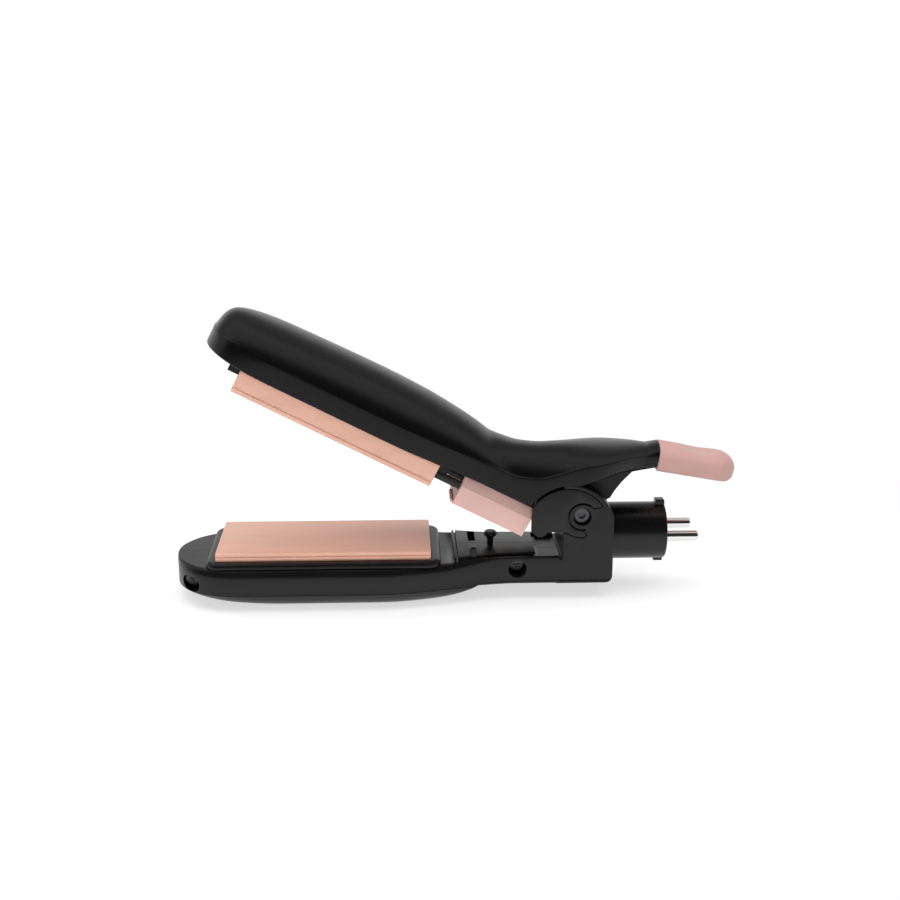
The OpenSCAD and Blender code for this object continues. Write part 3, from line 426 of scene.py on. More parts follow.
class WAVER_OT_finishes(bpy.types.Operator):
    """Mixes the plastics, coatings and metals"""
    bl_idname = "waver.finishes"
    bl_label = "Mix the finishes"

    def execute(self, context):
        c = colours()
        edge = sizes().edge_round
        FINISHES.update({
            "shell": moulded_black("moulded_black", list(c.shell), 0.30, 0.38, edge),
            "cover": moulded_black("satin_cover", [x * 0.6 for x in c.shell], 0.25, 0.31, edge, 0.24),
            "frame": moulded_black("plain_black", [x * 0.9 for x in c.shell], 0.45, 0.55, edge * 0.6),
            "spigot": moulded_black("spigot_black", [x * 0.7 for x in c.shell], 0.22, 0.30, edge),
            "peg": moulded_black("peg_black", [x * 1.2 for x in c.shell], 0.32, 0.4, edge * 0.5),
            "carrier": soft_plastic("carrier_grey", [0.05, 0.05, 0.052], 0.5, 0.6),
            "plate": coated_plate("rose_coating", list(c.plate)),
            "slider": soft_plastic("slider_pink", list(c.slider), 0.48, 0.56),
            "grip": soft_plastic("grip_pink", list(c.grip), 0.55, 0.65, 0.3, 0.2),
            "pin": bare_metal("bright_pin", [0.82, 0.81, 0.8], 0.08, 0.16, (30, 1, 1)),
            "screw": bare_metal("black_screw", [0.09, 0.09, 0.095], 0.3, 0.42, metallic=0.85),
            "steel": bare_metal("spring_steel", [0.55, 0.55, 0.56], 0.25, 0.4, (8, 1, 1)),
            "tin": bare_metal("tinned", [0.68, 0.64, 0.54], 0.3, 0.42),
            "ceramic": soft_plastic("ceramic_white", [0.75, 0.72, 0.65], 0.6, 0.75, 0.3),
            "film": soft_plastic("amber_film", [0.42, 0.17, 0.03], 0.2, 0.3, 0.6),
            "nylon": soft_plastic("nylon_natural", [0.7, 0.67, 0.58], 0.4, 0.5, 0.4),
            "lead": soft_plastic("lead_sleeve", [0.03, 0.03, 0.03], 0.6, 0.7, 0.3),
        })
        return {"FINISHED"}


# ---------- lower arm ----------
TIP_POWER = 2.3                  # 2 would make the tips round, more makes them squarer
BLOCK_H = 16.5                   # half width of the hinge block
BELLY_Z, TIP_BELLY_Z, REAR_BELLY_Z = -25.2, -19.0, -18.0


def tip_share(x, inset=0.0):
    """Share of the full half width at x, where the tip is rounded in plan."""
    u = min(1.0, max(0.0, (TIP_IN - x) / (TIP_IN - TIP_X - inset)))
    return (1 - u ** TIP_POWER) ** (1 / TIP_POWER)


def lower_w(x, inset=0.0):
    if x < TIP_IN:
        return max(0.4, (HALF_W - inset) * tip_share(x, inset))
    return mix(HALF_W, BLOCK_H, ease((x + 100) / 60)) - inset


def belly_z(x):
    if x < -140:
        return mix(BELLY_Z, TIP_BELLY_Z, ((-140 - x) / 45) ** 1.8)
    if x > -86:
        return mix(BELLY_Z, REAR_BELLY_Z, min(1.0, (x + 86) / 29) ** 2.2)
    return BELLY_Z


def tip_stations(end, count):
    """Places along the arm that lie closer together towards the tip."""
    return [TIP_X + (end - TIP_X) * (1 - math.cos(math.pi / 2 * i / count)) for i in range(count + 1)]


def lower_ring(x, inset=0.0):
    """A section of the lower arm: ledge, shoulder, side band with the line under it, and belly."""
    w = lower_w(x, inset)
    k = min(1.0, w / 14)
    rear = ease((x + 75) / 30)
    top = -7.2 - inset - 0.5 * ease((x + 68.2) / 2)
    slope, fall = mix(2.9, 0.5, rear) * k, mix(3.2, 0.5, rear) * k
    edge = mix(-7.2, -6.1, rear) - inset
    z = belly_z(x) + inset
    band = max(-18 + inset / 2, z + 1.1 * k)
    reach = mix(13.2, 0.95, ease((x + 84) / 30)) * k
    half = [(0.0, top), (w - slope - 0.35 * k, top), (w - slope, max(top, edge - 0.05)),
            (w - 0.5 * slope, edge - 0.13 * fall), (w - 0.14 * slope, edge - 0.5 * fall), (w, edge - fall),
            (w, mix(edge - fall, band, 0.5)), (w, band + 0.5 * k), (w - 0.3 * k, band + 0.26 * k),
            (w - 0.1 * k, band)]
    half += [(w - 0.1 * k - reach * s, mix(band, z, c)) for s, c in
             [(0.09, 0.28), (0.2, 0.5), (0.34, 0.69), (0.5, 0.83), (0.68, 0.93), (0.85, 0.985), (1.0, 1.0)]]
    half.append((0.0, z))
    ring = [(x, -y, zz) for y, zz in half] + [(x, y, zz) for y, zz in half[::-1] if y > 0]
    return ring


# Where the raised rear part, the recess and the hinge block begin
REAR_X0, RECESS_X, BLOCK_X = -67.4, -32.5, -21.5
BLOCK_TOP = (-19.5, 5.5, 20.3)


def raised_w(x):
    """Half width of the raised part behind the tray."""
    return lower_w(x) - mix(2.9, 0.45, ease((x + 75) / 30))


def raised_part():
    """The raised part between tray and hinge block, its front corners rounded."""
    xs = [REAR_X0 + (-22.5 - REAR_X0) * i / 30 for i in range(31)]
    near = [(x, -raised_w(x)) for x in xs]
    outline = near + [(x, -y) for x, y in near[::-1]]
    outline = rounded(outline, [1.9 if i in (0, len(outline) - 1) else 0 for i in range(len(outline))], 6)
    return extrude(outline, -12.5, -6.1, "Z", 0.45, 3)


def in_plan(inset, x0=REAR_X0 - 3, x1=2.0, steps=30):
    xs = [x0 + (x1 - x0) * i / steps for i in range(steps + 1)]
    return [(x, -lower_w(x) + inset) for x in xs] + [(x, lower_w(x) - inset) for x in xs[::-1]]


def block_form():
    crown = [(min(0.0, x), z) for x, z in arc(*BLOCK_TOP, 16, 95, 30)]
    outline = ([(-24.0, -18.0)] + arc(-3, -15, 3, -90, 0, 8) + crown
               + [(BLOCK_X, BLOCK_TOP[1] + BLOCK_TOP[2] - 0.06), (BLOCK_X, -7.0), (-24.0, -7.0)])
    return extrude(outline, -16.5, 16.5, "Y", 0.45, 3)


def platform_form():
    """The raised slab in front of the block, with a rounded front and sides."""
    xs = [REAR_X0 + 0.2 + (RECESS_X - REAR_X0 - 0.2) * i / 24 for i in range(25)]
    near = [(x, -(lower_w(x) - 3.1 - 0.6 * ease((x + 60) / 26))) for x in xs]
    outline = near + [(x, -y) for x, y in near[::-1]]
    outline = rounded(outline, [1.6 if i in (0, len(outline) - 1) else 0 for i in range(len(outline))], 5)
    return extrude(outline, -9.0, -5.3, "Z", 0.7, 4)


# The hinge cheek's outline: a round back, a beak over the hinge boss, and a hooked foot
CHEEK_EDGE = (
    [(-34.9, 5.1), (-34.9, 10.2)] + arc(-19.5, 6, 18, 147, 47, 40)
    + [(-5.1, 16.5), (-6.0, 15.7), (-8.3, 15.5)] + arc(PIVOT.x, PIVOT.z, 6.0, 37, 276, 44)
    + [(-11.5, 3.6), (-12.4, 2.6), (-14.4, 2.5), (-17.2, 3.2), (-19.6, 4.4), (-21.7, 4.9), (-27.4, 5.0),
       (-30.0, 2.9), (-32.1, 2.8)])


def grown(outline, d):
    """An outline moved outward by d."""
    pts = [Vector(p) for p in outline]
    area = sum(a.x * b.y - b.x * a.y for a, b in zip(pts, pts[1:] + pts[:1]))
    out = []
    for a, b, c in zip(pts[-1:] + pts[:-1], pts, pts[1:] + pts[:1]):
        u, v = (b - a).normalized(), (c - b).normalized()
        n = Vector((u.y + v.y, -u.x - v.x)).normalized() * (1 if area > 0 else -1)
        out.append(tuple(b + n * d))
    return out


CHEEK_Y = 14.55                  # where the cheeks' recesses begin
SCREW_AT = ((-177.5, -14.6), (-40.5, -11.2))     # the casing screws, in x and z
PEG_X = -51.1


def casing_hollows():
    """What the halves have cut away inside them: the plate's hollow and the wiring space behind it."""
    inner_x = [TIP_X + WALL + (i / 10) ** 1.6 * (30 - WALL) for i in range(11)]
    inner_x += [-150, -120, -100, -90, -84, -78, -72, -67, -62, -58]
    side = [(-68.6, -15.8), (-4.4, -15.8), (-4.4, -10.2), (-34.7, -10.2), (-34.7, -8.2), (-68.6, -8.2)]
    return loft([lower_ring(x, WALL) for x in inner_x]), extrude(side, -14.3, 14.3, "Y")


def recess_form():
    """The recess in front of the block: it slopes down from the platform and rounds up to the block."""
    side = [(-33.4, -4.0), (-32.3, -5.35), (-31.9, -5.6), (-30.8, -7.7), (-30.3, -8.0)]
    side += arc(-24.9, -4.8, 3.2, -90, -8, 8) + [(BLOCK_X + 0.2, -4.0)]
    return extrude(side, -13.4, 13.4, "Y")


def platform_groove():
    """The thin groove round the platform's sides and front."""
    return carve(extrude(in_plan(2.3, -66.4, BLOCK_X, 24), -7.1, -4.0, "Z"),
                 [("DIFFERENCE", extrude(in_plan(3.2, -65.6, -10, 24), -9, 0, "Z")),
                  ("DIFFERENCE", box((RECESS_X - 0.5, -13.0, -9), (0, 13.0, 0)))])


def hollow_block():
    """The hinge block with its spring space, the knuckle's slot and the way out at the top."""
    return carve(block_form(), [
        ("DIFFERENCE", box((-30, -14.3, -15.8), (-4.4, 14.3, -10.2))),
        ("DIFFERENCE", box((-11.9, -7.6, -11.2), (-4.1, 7.6, 0.7))),
        ("DIFFERENCE", box((-26, -10.8, 2.4), (-4.4, 10.8, 40))),
        ("DIFFERENCE", box((-6, -10.8, 14.6), (2, 10.8, 41)))])


def hinge_cuts(s):
    """Cuts on one side of the block: the cheek's bed, the gap round the boss, the screw's mouth and bore."""
    at = (PIVOT.x, 0, PIVOT.z)
    low, high = sorted((s * CHEEK_Y, s * 20))

    def bore(r, start, steps):
        return lathe([(r, min(start * s, 20 * s)), (r, max(start * s, 20 * s))], at, "Y", steps)
    gap = carve(lathe([(6.0, low), (6.0, high)], at, "Y", 96),
                [("DIFFERENCE", lathe([(5.4, low - 1), (5.4, high + 1)], at, "Y", 96)),
                 ("DIFFERENCE", box((-12.0, -21, 4.7), (0, 21, 16.2)))])
    line = [(s * BLOCK_H + 0.32 * math.cos(a), -16.65 + 0.28 * math.sin(a))
            for a in (0, math.pi / 2, math.pi, 1.5 * math.pi)]
    return [extrude(grown(CHEEK_EDGE, 0.18), low, high, "Y"), gap, bore(3.8, 12.9, 72), bore(2.66, 0, 36),
            extrude(line, -22.9, 1.0, "X")]


def screw_steps(x, z):
    """A casing screw's boss, mouth and bore."""
    w = lower_w(x)
    boss = lathe([(5, -w + 0.9), (5, w - 0.9)], (x, 0, z), "Y", 48)
    if x < TIP_IN:
        inside = loft([lower_ring(TIP_X + 0.8 + i, 0.8) for i in range(20)])
        boss = carve(boss, [("INTERSECT", inside)])
    return [("UNION", boss), ("DIFFERENCE", lathe([(3.8, -40), (3.8, -w + 8)], (x, 0, z), "Y", 48)),
            ("DIFFERENCE", lathe([(1.65, -w + 7), (1.65, w - WALL)], (x, 0, z), "Y", 24))]


def lower_casing():
    stations = tip_stations(TIP_IN, 18)[:-1] + [TIP_IN + 3.0 * i for i in range(27)]
    stations += [-74 + 1.3 * i for i in range(40)]
    hollow, rear_hollow = casing_hollows()
    steps = [
        ("DIFFERENCE", hollow),
        ("DIFFERENCE", box((-168.5, -22.2, -12), (-75.4, 22.2, 0))),
        ("UNION", raised_part()),
        ("UNION", platform_form()),
        ("DIFFERENCE", rear_hollow),
        ("UNION", hollow_block()),
        ("DIFFERENCE", recess_form()),
        ("DIFFERENCE", platform_groove()),
        ("DIFFERENCE", box((-60.5, 2.9, -9), (-57.4, 15.1, 0))),
    ]
    for r, low, high in ((12.4, -1.4, 2), (13.5, -3.2, -1.3), (9.0, -5.5, -3.1)):     # the spigot's seat
        steps.append(("DIFFERENCE", lathe([(r, low), (r, high)], (0, 0, 0), "X")))
    steps.append(("DIFFERENCE", lathe([(1.35, -12), (1.35, 0)], (PEG_X, 0, 0), "Z", 24)))
    for s in (-1, 1):
        steps += [("DIFFERENCE", cut) for cut in hinge_cuts(s)]
    for x, z in SCREW_AT:
        steps += screw_steps(x, z)
    steps.append(("DIFFERENCE", box((-46.5, -4, -15.1), (-34.5, 4, -13))))
    return carve(loft([lower_ring(x) for x in stations]), steps)


class WAVER_OT_lower_shells(bpy.types.Operator):
    """Builds the two halves of the lower casing, split on the centre plane"""
    bl_idname = "waver.lower_shells"
    bl_label = "Build the lower shells"

    def execute(self, context):
        whole = lower_casing()
        for name, low, high in (("near", -60, -0.06), ("far", 0.06, 60)):
            half = carve(whole.copy(), [("INTERSECT", box((-300, low, -80), (80, high, 80)))])
            obj = shade(piece(f"lower_casing_{name}", half), 28)
            dress(obj, "lower_arm", FINISHES["shell"], "black_plastic", f"lower_shell_{name}")
        whole.free()
        return {"FINISHED"}


class WAVER_OT_hinge(bpy.types.Operator):
    """Builds the hinge cheeks and the hinge screw"""
    bl_idname = "waver.hinge"
    bl_label = "Build the hinge"

    def execute(self, context):
        outline = rounded(CHEEK_EDGE, 0.7, 3)
        for name, s in (("near", -1), ("far", 1)):
            low, high = sorted((s * (CHEEK_Y + 0.15), s * BLOCK_H))
            obj = shade(piece(f"cheek_{name}", extrude(outline, low, high, "Y", 0.3, 3)), 30)
            dress(obj, "lower_arm", FINISHES["shell"], "black_plastic", f"hinge_cheek_{name}")
        at = (PIVOT.x, 0, PIVOT.z)
        head = [(3.35, 12.4), (3.35, 14.0), (3.05, 14.3), (0.4, 14.3)]
        socket = [(1.7, 12.9), (1.7, 15)]
        steps = []
        for how, profile, sides in (("UNION", head, 48), ("DIFFERENCE", socket, 6)):
            steps.append((how, lathe(profile, at, "Y", sides)))
            steps.append((how, lathe([(r, -h) for r, h in profile[::-1]], at, "Y", sides)))
        screw = carve(lathe([(2.6, -12.6), (2.6, 12.6)], at, "Y", 48), steps)
        screw = shade(piece("hinge_socket_screw", screw), 30)
        dress(screw, "lower_arm", FINISHES["screw"], "black_screw", "hinge_screw")
        return {"FINISHED"}


TRAY_X0, TRAY_X1, TRAY_W = -171.1, -73.0, 24.4
TRAY_R = 6.0                     # corner radius in plan


def rounded_rect(x0, x1, half, r, n):
    return (arc(x1 - r, half - r, r, 0, 90, n) + arc(x0 + r, half - r, r, 90, 180, n)
            + arc(x0 + r, -half + r, r, 180, 270, n) + arc(x1 - r, -half + r, r, 270, 360, n))


class WAVER_OT_lower_tray(bpy.types.Operator):
    """Builds the rimmed tray that holds the lower plate"""
    bl_idname = "waver.lower_tray"
    bl_label = "Build the lower tray"

    def execute(self, context):
        # the rim's section, from its foot: (inward from the outer edge, height)
        rim = [(0.0, -7.2), (0.0, -6.1), (0.25, -5.5), (0.75, -5.05), (1.5, -4.78), (2.4, -4.7)]
        rings = []
        for d, z in rim:
            outline = rounded_rect(TRAY_X0 + d, TRAY_X1 - d, TRAY_W - d, TRAY_R - d * 0.9, 10)
            rings.append([(x, y, z) for x, y in outline])
        body = loft(rings)
        steps = [("UNION", box((-168.3, -21.9, -9.9), (-75.7, 21.9, -6.4))),
                 ("DIFFERENCE", box((-167.05, -20.8, -8.4), (-77.05, 20.8, 3))),
                 ("DIFFERENCE", box((-86.2, -5, -12), (-81.2, 5, 0)))]
        obj = shade(piece("plate_tray", carve(body, steps)), 30)
        dress(obj, "lower_arm", FINISHES["shell"], "black_plastic", "lower_plate_tray")
        return {"FINISHED"}


PLATE_X0, PLATE_X1, PLATE_Y, PLATE_T = -166.9, -77.2, 20.65, 1.2
LOWER_FACE, UPPER_FACE, PLATE_SIDE = -1.3, -4.0, 8.4     # working faces, and how far the sides reach from z = 0
UPPER_SHIFT = -0.6                                       # the upper plate stands this far towards the tip


def channel_plate(face, side_end, shift, side):
    """A folded plate with soft long edges. side gives points on its outer side: (outward, below the face)."""
    up = 1 if side_end > face else -1
    y, t = PLATE_Y, PLATE_T
    x0, x1 = PLATE_X0 + shift, PLATE_X1 + shift

    def z(h):
        return face + up * h
    near = [(0.0, z(0)), (y - 0.9, z(0)), (y - 0.45, z(0.07)), (y - 0.13, z(0.32)), (y, z(0.8))]
    near += [(y + out, z(h)) for out, h in side]
    near += [(y, side_end), (y - t, side_end), (y - t, z(1.5)), (0.0, z(1.5))]
    ring = near + [(-a, b) for a, b in near[::-1] if a > 0]
    # the ends draw in by a little, and the web's faces close towards its middle there
    middle, web = z(0.75), 1.6
    ends = [(0.0, 0.35), (0.12, 0.12), (0.4, 0.0)]
    stations = [(x0 + d, s) for d, s in ends]
    stations += [(x0 + 0.4 + (x1 - x0 - 0.8) * i / 5, 0.0) for i in range(1, 5)]
    stations += [(x1 - d, s) for d, s in ends[::-1]]
    return loft([[(x, a * (1 - s / y), b + (middle - b) * (s / t) * (1 if abs(b - face) < web else 0))
                  for a, b in ring] for x, s in stations])


class WAVER_OT_plates(bpy.types.Operator):
    """Builds the two coated heating plates"""
    bl_idname = "waver.plates"
    bl_label = "Build the plates"

    def execute(self, context):
        g = sizes().groove_depth / MM
        # a groove, and below it a lip that stands proud
        side = [(0, 1.5), (-g, 1.62), (-g, 1.86), (0.1, 1.95), (0.22, 2.05), (0.24, 2.3), (0.24, 3.0),
                (0.1, 3.15), (0, 3.2)]
        low = shade(piece("lower_plate_skin", channel_plate(LOWER_FACE, -PLATE_SIDE, 0.0, side)), 32)
        dress(low, "lower_arm", FINISHES["plate"], "rose_plate", "lower_heating_plate")
        # a groove, and a small bead near the cover
        side = [(0, 1.85), (-g, 1.97), (-g, 2.6), (0, 2.72), (0, 9.25), (-0.15, 9.35), (0, 9.5), (0.12, 9.62),
                (0.18, 9.85), (0.12, 10.08), (0, 10.2)]
        high = channel_plate(UPPER_FACE, PLATE_SIDE, UPPER_SHIFT, side)
        high = shade(piece("upper_plate_skin", high, turned=True), 32)
        dress(high, "carriage", FINISHES["plate"], "rose_plate", "upper_heating_plate")
        return {"FINISHED"}


# ---------- upper arm ----------
HINGE_W, LEVER_W = 19.5, 9.0     # half widths over the hinge and of the lever


def upper_w(x, inset=0.0):
    if x < TIP_IN:
        return max(0.4, (HALF_W - inset) * tip_share(x, inset))
    return mix(mix(HALF_W, HINGE_W, ease((x + 105) / 60)), LEVER_W, ease((x + 20) / 25)) - inset


# Heights along the cover, as (x, z): its lower edge, the crease over the side band, the dome, the lever's neck
EDGE = [(-186, 6.6), (-36, 6.6), (-35, 9.9), (-34, 12.4), (-32, 15.8), (-30, 18.3), (-26, 21.5), (-22, 23.4),
        (-17, 28.0), (-12, 32.0), (-6, 35.0), (0, 38.4), (6, 42.6)]
CREASE = [(-186, 13.2), (-180, 14.2), (-170, 14.9), (-155, 15.0), (-50, 15.0), (-43, 16.7), (-37.5, 19.1),
          (-31.2, 24.3), (-24, 31.1), (-14, 38.2), (-5, 43.6), (6, 47.8)]
DOME = [(-185, 10.1), (-184.4, 15.3), (-182.8, 20.3), (-180, 23.3), (-176, 24.7), (-170, 25.7),
        (-163, 26.4), (-147, 27.1), (-129, 27.6), (-112, 27.9), (-94, 27.5), (-80, 26.4), (-70, 25.1),
        (-62.7, 23.6), (-55, 21.3), (-45, 17.6), (-38, 14.5)]
NECK = [(-78, 17.1), (-70, 20.7), (-64, 23.1), (-58, 24.0), (-52, 24.8), (-46, 26.6), (-41, 28.7), (-35, 32.0),
        (-29, 35.2), (-16, 41.8), (-10, 44.7), (-4, 47.5), (6, 51.4)]
DOME_RISE = math.radians(22)     # the dome leaves its crease this far from upright


def soft_max(a, b, k):
    h = max(k - abs(a - b), 0.0) / k
    return max(a, b) + h * h * k * 0.25


def upper_top(x, share, inset=0.0):
    """Height of the cover's top at a share of its half width."""
    crease = smooth_table(CREASE, x) - inset / 2
    dome = smooth_table(DOME, x) - inset
    neck = smooth_table(NECK, x) - inset
    low = math.sin(DOME_RISE)
    round_off = (math.sqrt(max(0.0, 1 - (share * math.cos(DOME_RISE)) ** 2)) - low) / (1 - low)
    if x < -78:
        return mix(crease, max(dome, crease + 0.2), round_off)
    a = mix(crease, max(dome, crease + 0.1), round_off) if dome > crease else crease
    flat = (1 - min(1.0, share / 0.97) ** 2.2) ** 0.9 if share < 0.97 else 0.0
    blend = ease((x + 45) / 25)
    b = mix(crease, max(neck, crease + 0.1), mix(flat, round_off, blend))
    return soft_max(a, b, 0.8)


def upper_ring(x, inset=0.0, below=None):
    w = upper_w(x, inset)
    low = smooth_table(EDGE, x) if below is None else below
    crease = max(low + 0.5, smooth_table(CREASE, x) - inset / 2)
    lever = ease((x + 16) / 14)      # the lever has a rounder underside
    k = min(1.0, w / 12)
    half = [(0.0, low), (w * mix(0.985, 0.6, lever) - 0.9 * k, low),
            (w - mix(0.45, 1.1, lever) * k, low + mix(0.1, 0.5, lever)),
            (w - mix(0.12, 0.35, lever) * k, low + mix(0.45, 1.6, lever)), (w, low + mix(1.0, 2.8, lever)),
            (w, mix(low, crease, 0.7)), (w, crease - 0.32), (w - 0.07 * k, crease)]
    half = [(max(0.0, y), min(z, crease + 0.01)) for y, z in half]
    edge = w - 0.07 * k
    for i in range(1, 22):
        a = math.radians(90 * i / 22)
        share = math.cos(a)
        half.append((edge * share, max(upper_top(x, share, inset), crease)))
    half.append((0.0, max(upper_top(x, 0.0, inset), crease)))
    return [(x, -y, z) for y, z in half] + [(x, y, z) for y, z in half[::-1] if y > 1e-6]


# Where the lever ends: its place when shut, and the slope that the grip continues
ON_LEVER = Matrix.Translation((5.4, 0.0, 46.4)) @ Matrix.Rotation(math.radians(-17), 4, "Y")
TONGUE_L = 24


def lever_ring(share):
    """A section of the lever between the cover and the grip's slanted face."""
    start = upper_ring(0.0)
    side, crown = (8.7, 1.4), 6.0
    half = [(0, -3.8), (6.7, -3.8), (7.9, -3.5), (8.5, -2.6), (8.75, -1.2), (8.85, 0.2), (8.82, 1.1), side]
    for i in range(1, 22):
        a = math.radians(90 * i / 22)
        half.append((side[0] * math.cos(a), mix(side[1], crown, math.sin(a))))
    half.append((0, crown))
    end = [(-y, z) for y, z in half] + [(y, z) for y, z in half[::-1] if y > 1e-6]
    return [Vector(a).lerp(ON_LEVER @ Vector((-0.15, y, z)), share) for a, (y, z) in zip(start, end)]


class WAVER_OT_cover(bpy.types.Operator):
    """Builds the upper cover: dome, side band, valley and lever"""
    bl_idname = "waver.cover"
    bl_label = "Build the upper cover"

    def execute(self, context):
        stations = tip_stations(TIP_IN, 22)[:-1] + [-155 + 2.75 * i for i in range(28)] \
            + [-78 + 1.2 * i for i in range(36)] + [-34.8 + 0.8 * i for i in range(48)]
        rings = [upper_ring(x) for x in stations if x < -0.3]
        skin = loft(rings + [lever_ring(share) for share in (0, 0.25, 0.5, 0.75, 0.95, 1)])
        inner = [TIP_X + WALL + (i / 12) ** 1.6 * (30 - WALL) for i in range(13)] \
            + [-150 + 4 * i for i in range(29)] + [-34 + 1.5 * i for i in range(12)]
        hollow = loft([upper_ring(x, WALL, smooth_table(EDGE, x) - 3) for x in inner])
        tongue = box((-3, -5, -2), (TONGUE_L, 5, 2), 0.3)
        tongue.transform(ON_LEVER)
        under = box((-17.0, -15, 20), (-12.9, 15, 60))
        hollow = carve(hollow, [("DIFFERENCE", under)])
        body = carve(skin, [("DIFFERENCE", hollow), ("UNION", tongue)])
        obj = shade(piece("cover_shell", body, turned=True), 24)
        dress(obj, "upper_arm", FINISHES["cover"], "black_plastic", "upper_cover")
        return {"FINISHED"}


GRIP_L, GRIP_LOW, GRIP_MID, GRIP_TOP = 34.7, -5.1, -0.5, 6.3
GRIP_END, GRIP_END_LOW = 8.4, 5.2        # lengths over which its end is rounded, above and below
DISH_U, DISH_Z = 18, 4.4                 # the lowest place of the thumb's dish


def grip_ring(u, shrink=0.0):
    """A section of the thumb grip, u along the lever, with the thumb's dish in its top."""
    def quarter(reach):
        t = max(0.0, (u - GRIP_L + reach) / reach)
        return math.sqrt(max(0.0009, 1 - t * t))
    w = LEVER_W * quarter(GRIP_END) - shrink
    top = mix(GRIP_MID, GRIP_TOP, quarter(GRIP_END)) - shrink
    low = mix(GRIP_MID, GRIP_LOW, quarter(GRIP_END_LOW)) + shrink
    side = mix(low, top, 0.5)
    half = [(0.0, low), (w * 0.8, low), (w * 0.9, mix(low, top, 0.015)), (w * 0.955, mix(low, top, 0.05)),
            (w * 0.99, mix(low, top, 0.11)), (w, mix(low, top, 0.2)), (w, side)]
    for i in range(1, 24):
        a = math.radians(90 * i / 24)
        half.append((w * math.cos(a), mix(side, top, math.sin(a))))
    half.append((0.0, top))
    curve = 0.0155 if u < DISH_U else 0.0225

    def dish(y):
        return DISH_Z + 0.0095 * y * y + curve * (u - DISH_U) ** 2
    ring = [(y, min(z, dish(y))) if z > 1 else (y, z) for y, z in half]
    return [ON_LEVER @ Vector(p) for p in
            [(u, -y, z) for y, z in ring] + [(u, y, z) for y, z in ring[::-1] if y > 1e-6]]


class WAVER_OT_grip(bpy.types.Operator):
    """Builds the soft thumb grip at the end of the lever"""
    bl_idname = "waver.grip"
    bl_label = "Build the thumb grip"

    def execute(self, context):
        rings = [grip_ring(u, s) for u, s in ((0.05, 0.55), (0.16, 0.25), (0.4, 0.06), (0.8, 0.0))]
        rings += [grip_ring(0.8 + 0.85 * i) for i in range(1, 30)]
        rings += [grip_ring(GRIP_L - GRIP_END * (1 - math.sin(math.radians(6 * i)))) for i in range(1, 15)]
        socket = box((-1, -5.15, -2.15), (TONGUE_L + 0.15, 5.15, 2.15))
        socket.transform(ON_LEVER)
        obj = shade(piece("thumb_pad", carve(loft(rings), [("DIFFERENCE", socket)]), turned=True), 40)
        dress(obj, "upper_arm", FINISHES["grip"], "pink_grip", "thumb_grip")
        return {"FINISHED"}


# ---------- small parts ----------
SPIGOT_R, SPIGOT_BORE_R, SPIGOT_L = 12.25, 11.05, 23.9
LUG_UP, LUG_DOWN = 1.8, 1.2      # how far the bayonet lugs stand out, above and below
PIN_R, PIN_Y, PIN_TIP, PIN_NOSE = 2.3, 8.35, 37.6, 1.25
TAIL_R, NECK_R = 1.1, 2.0


def contact_pin(y):
    """A pin with a thin tail, a neck inside the spigot and a rounded nose."""
    turns = [math.radians(10 * i) for i in range(10)]
    nose = [(PIN_R - PIN_NOSE * (1 - math.cos(a)), PIN_TIP - PIN_NOSE * (1 - math.sin(a))) for a in turns]
    neck_end = SPIGOT_L + 0.1
    profile = [(0.01, 6.0), (TAIL_R, 6.0), (TAIL_R, 8.0), (NECK_R, 8.0), (NECK_R, neck_end), (PIN_R, neck_end)]
    return lathe(profile + nose + [(0.01, PIN_TIP)], (0, y, 0), "X", 56)


class WAVER_OT_spigot(bpy.types.Operator):
    """Builds the spigot with its bayonet lugs, and finishes the contacts"""
    bl_idname = "waver.spigot"
    bl_label = "Build the spigot"

    def execute(self, context):
        r, end, at = SPIGOT_R, SPIGOT_L, (0, 0, 0)
        outer = lathe([(8.85, -4.4), (8.85, -3.1), (13.35, -3.1), (13.35, -1.4), (r, -1.4), (r, end - 1.1),
                       (r - 0.12, end - 0.5), (r - 0.42, end - 0.13), (r - 0.9, end)], at, "X", 120)
        bore = [(SPIGOT_BORE_R, 0.5), (SPIGOT_BORE_R, end - 0.6), (SPIGOT_BORE_R + 0.55, end + 0.1)]
        steps = [("UNION", box((19.8, -2.5, r - 0.6), (end - 0.2, 2.5, r + LUG_UP), 0.35)),
                 ("UNION", box((19.8, -2.5, -r - LUG_DOWN), (end - 0.2, 2.5, -r + 0.6), 0.35)),
                 ("DIFFERENCE", lathe([(7.55, -6), (7.55, 2)], at, "X", 60)),
                 ("DIFFERENCE", lathe(bore, at, "X", 120))]
        obj = shade(piece("spigot_sleeve", carve(outer, steps)), 30)
        dress(obj, "lower_arm", FINISHES["spigot"], "spigot_plastic", "spigot_body")
        finish("contact_carrier", FINISHES["carrier"])
        finish("crimp_terminals", FINISHES["tin"])
        pins = joined([contact_pin(side * PIN_Y) for side in (-1, 1)])
        pins = shade(piece("contact_pair", pins), 35)
        dress(pins, "lower_arm", FINISHES["pin"], "bright_pin", "contact_pins")
        return {"FINISHED"}


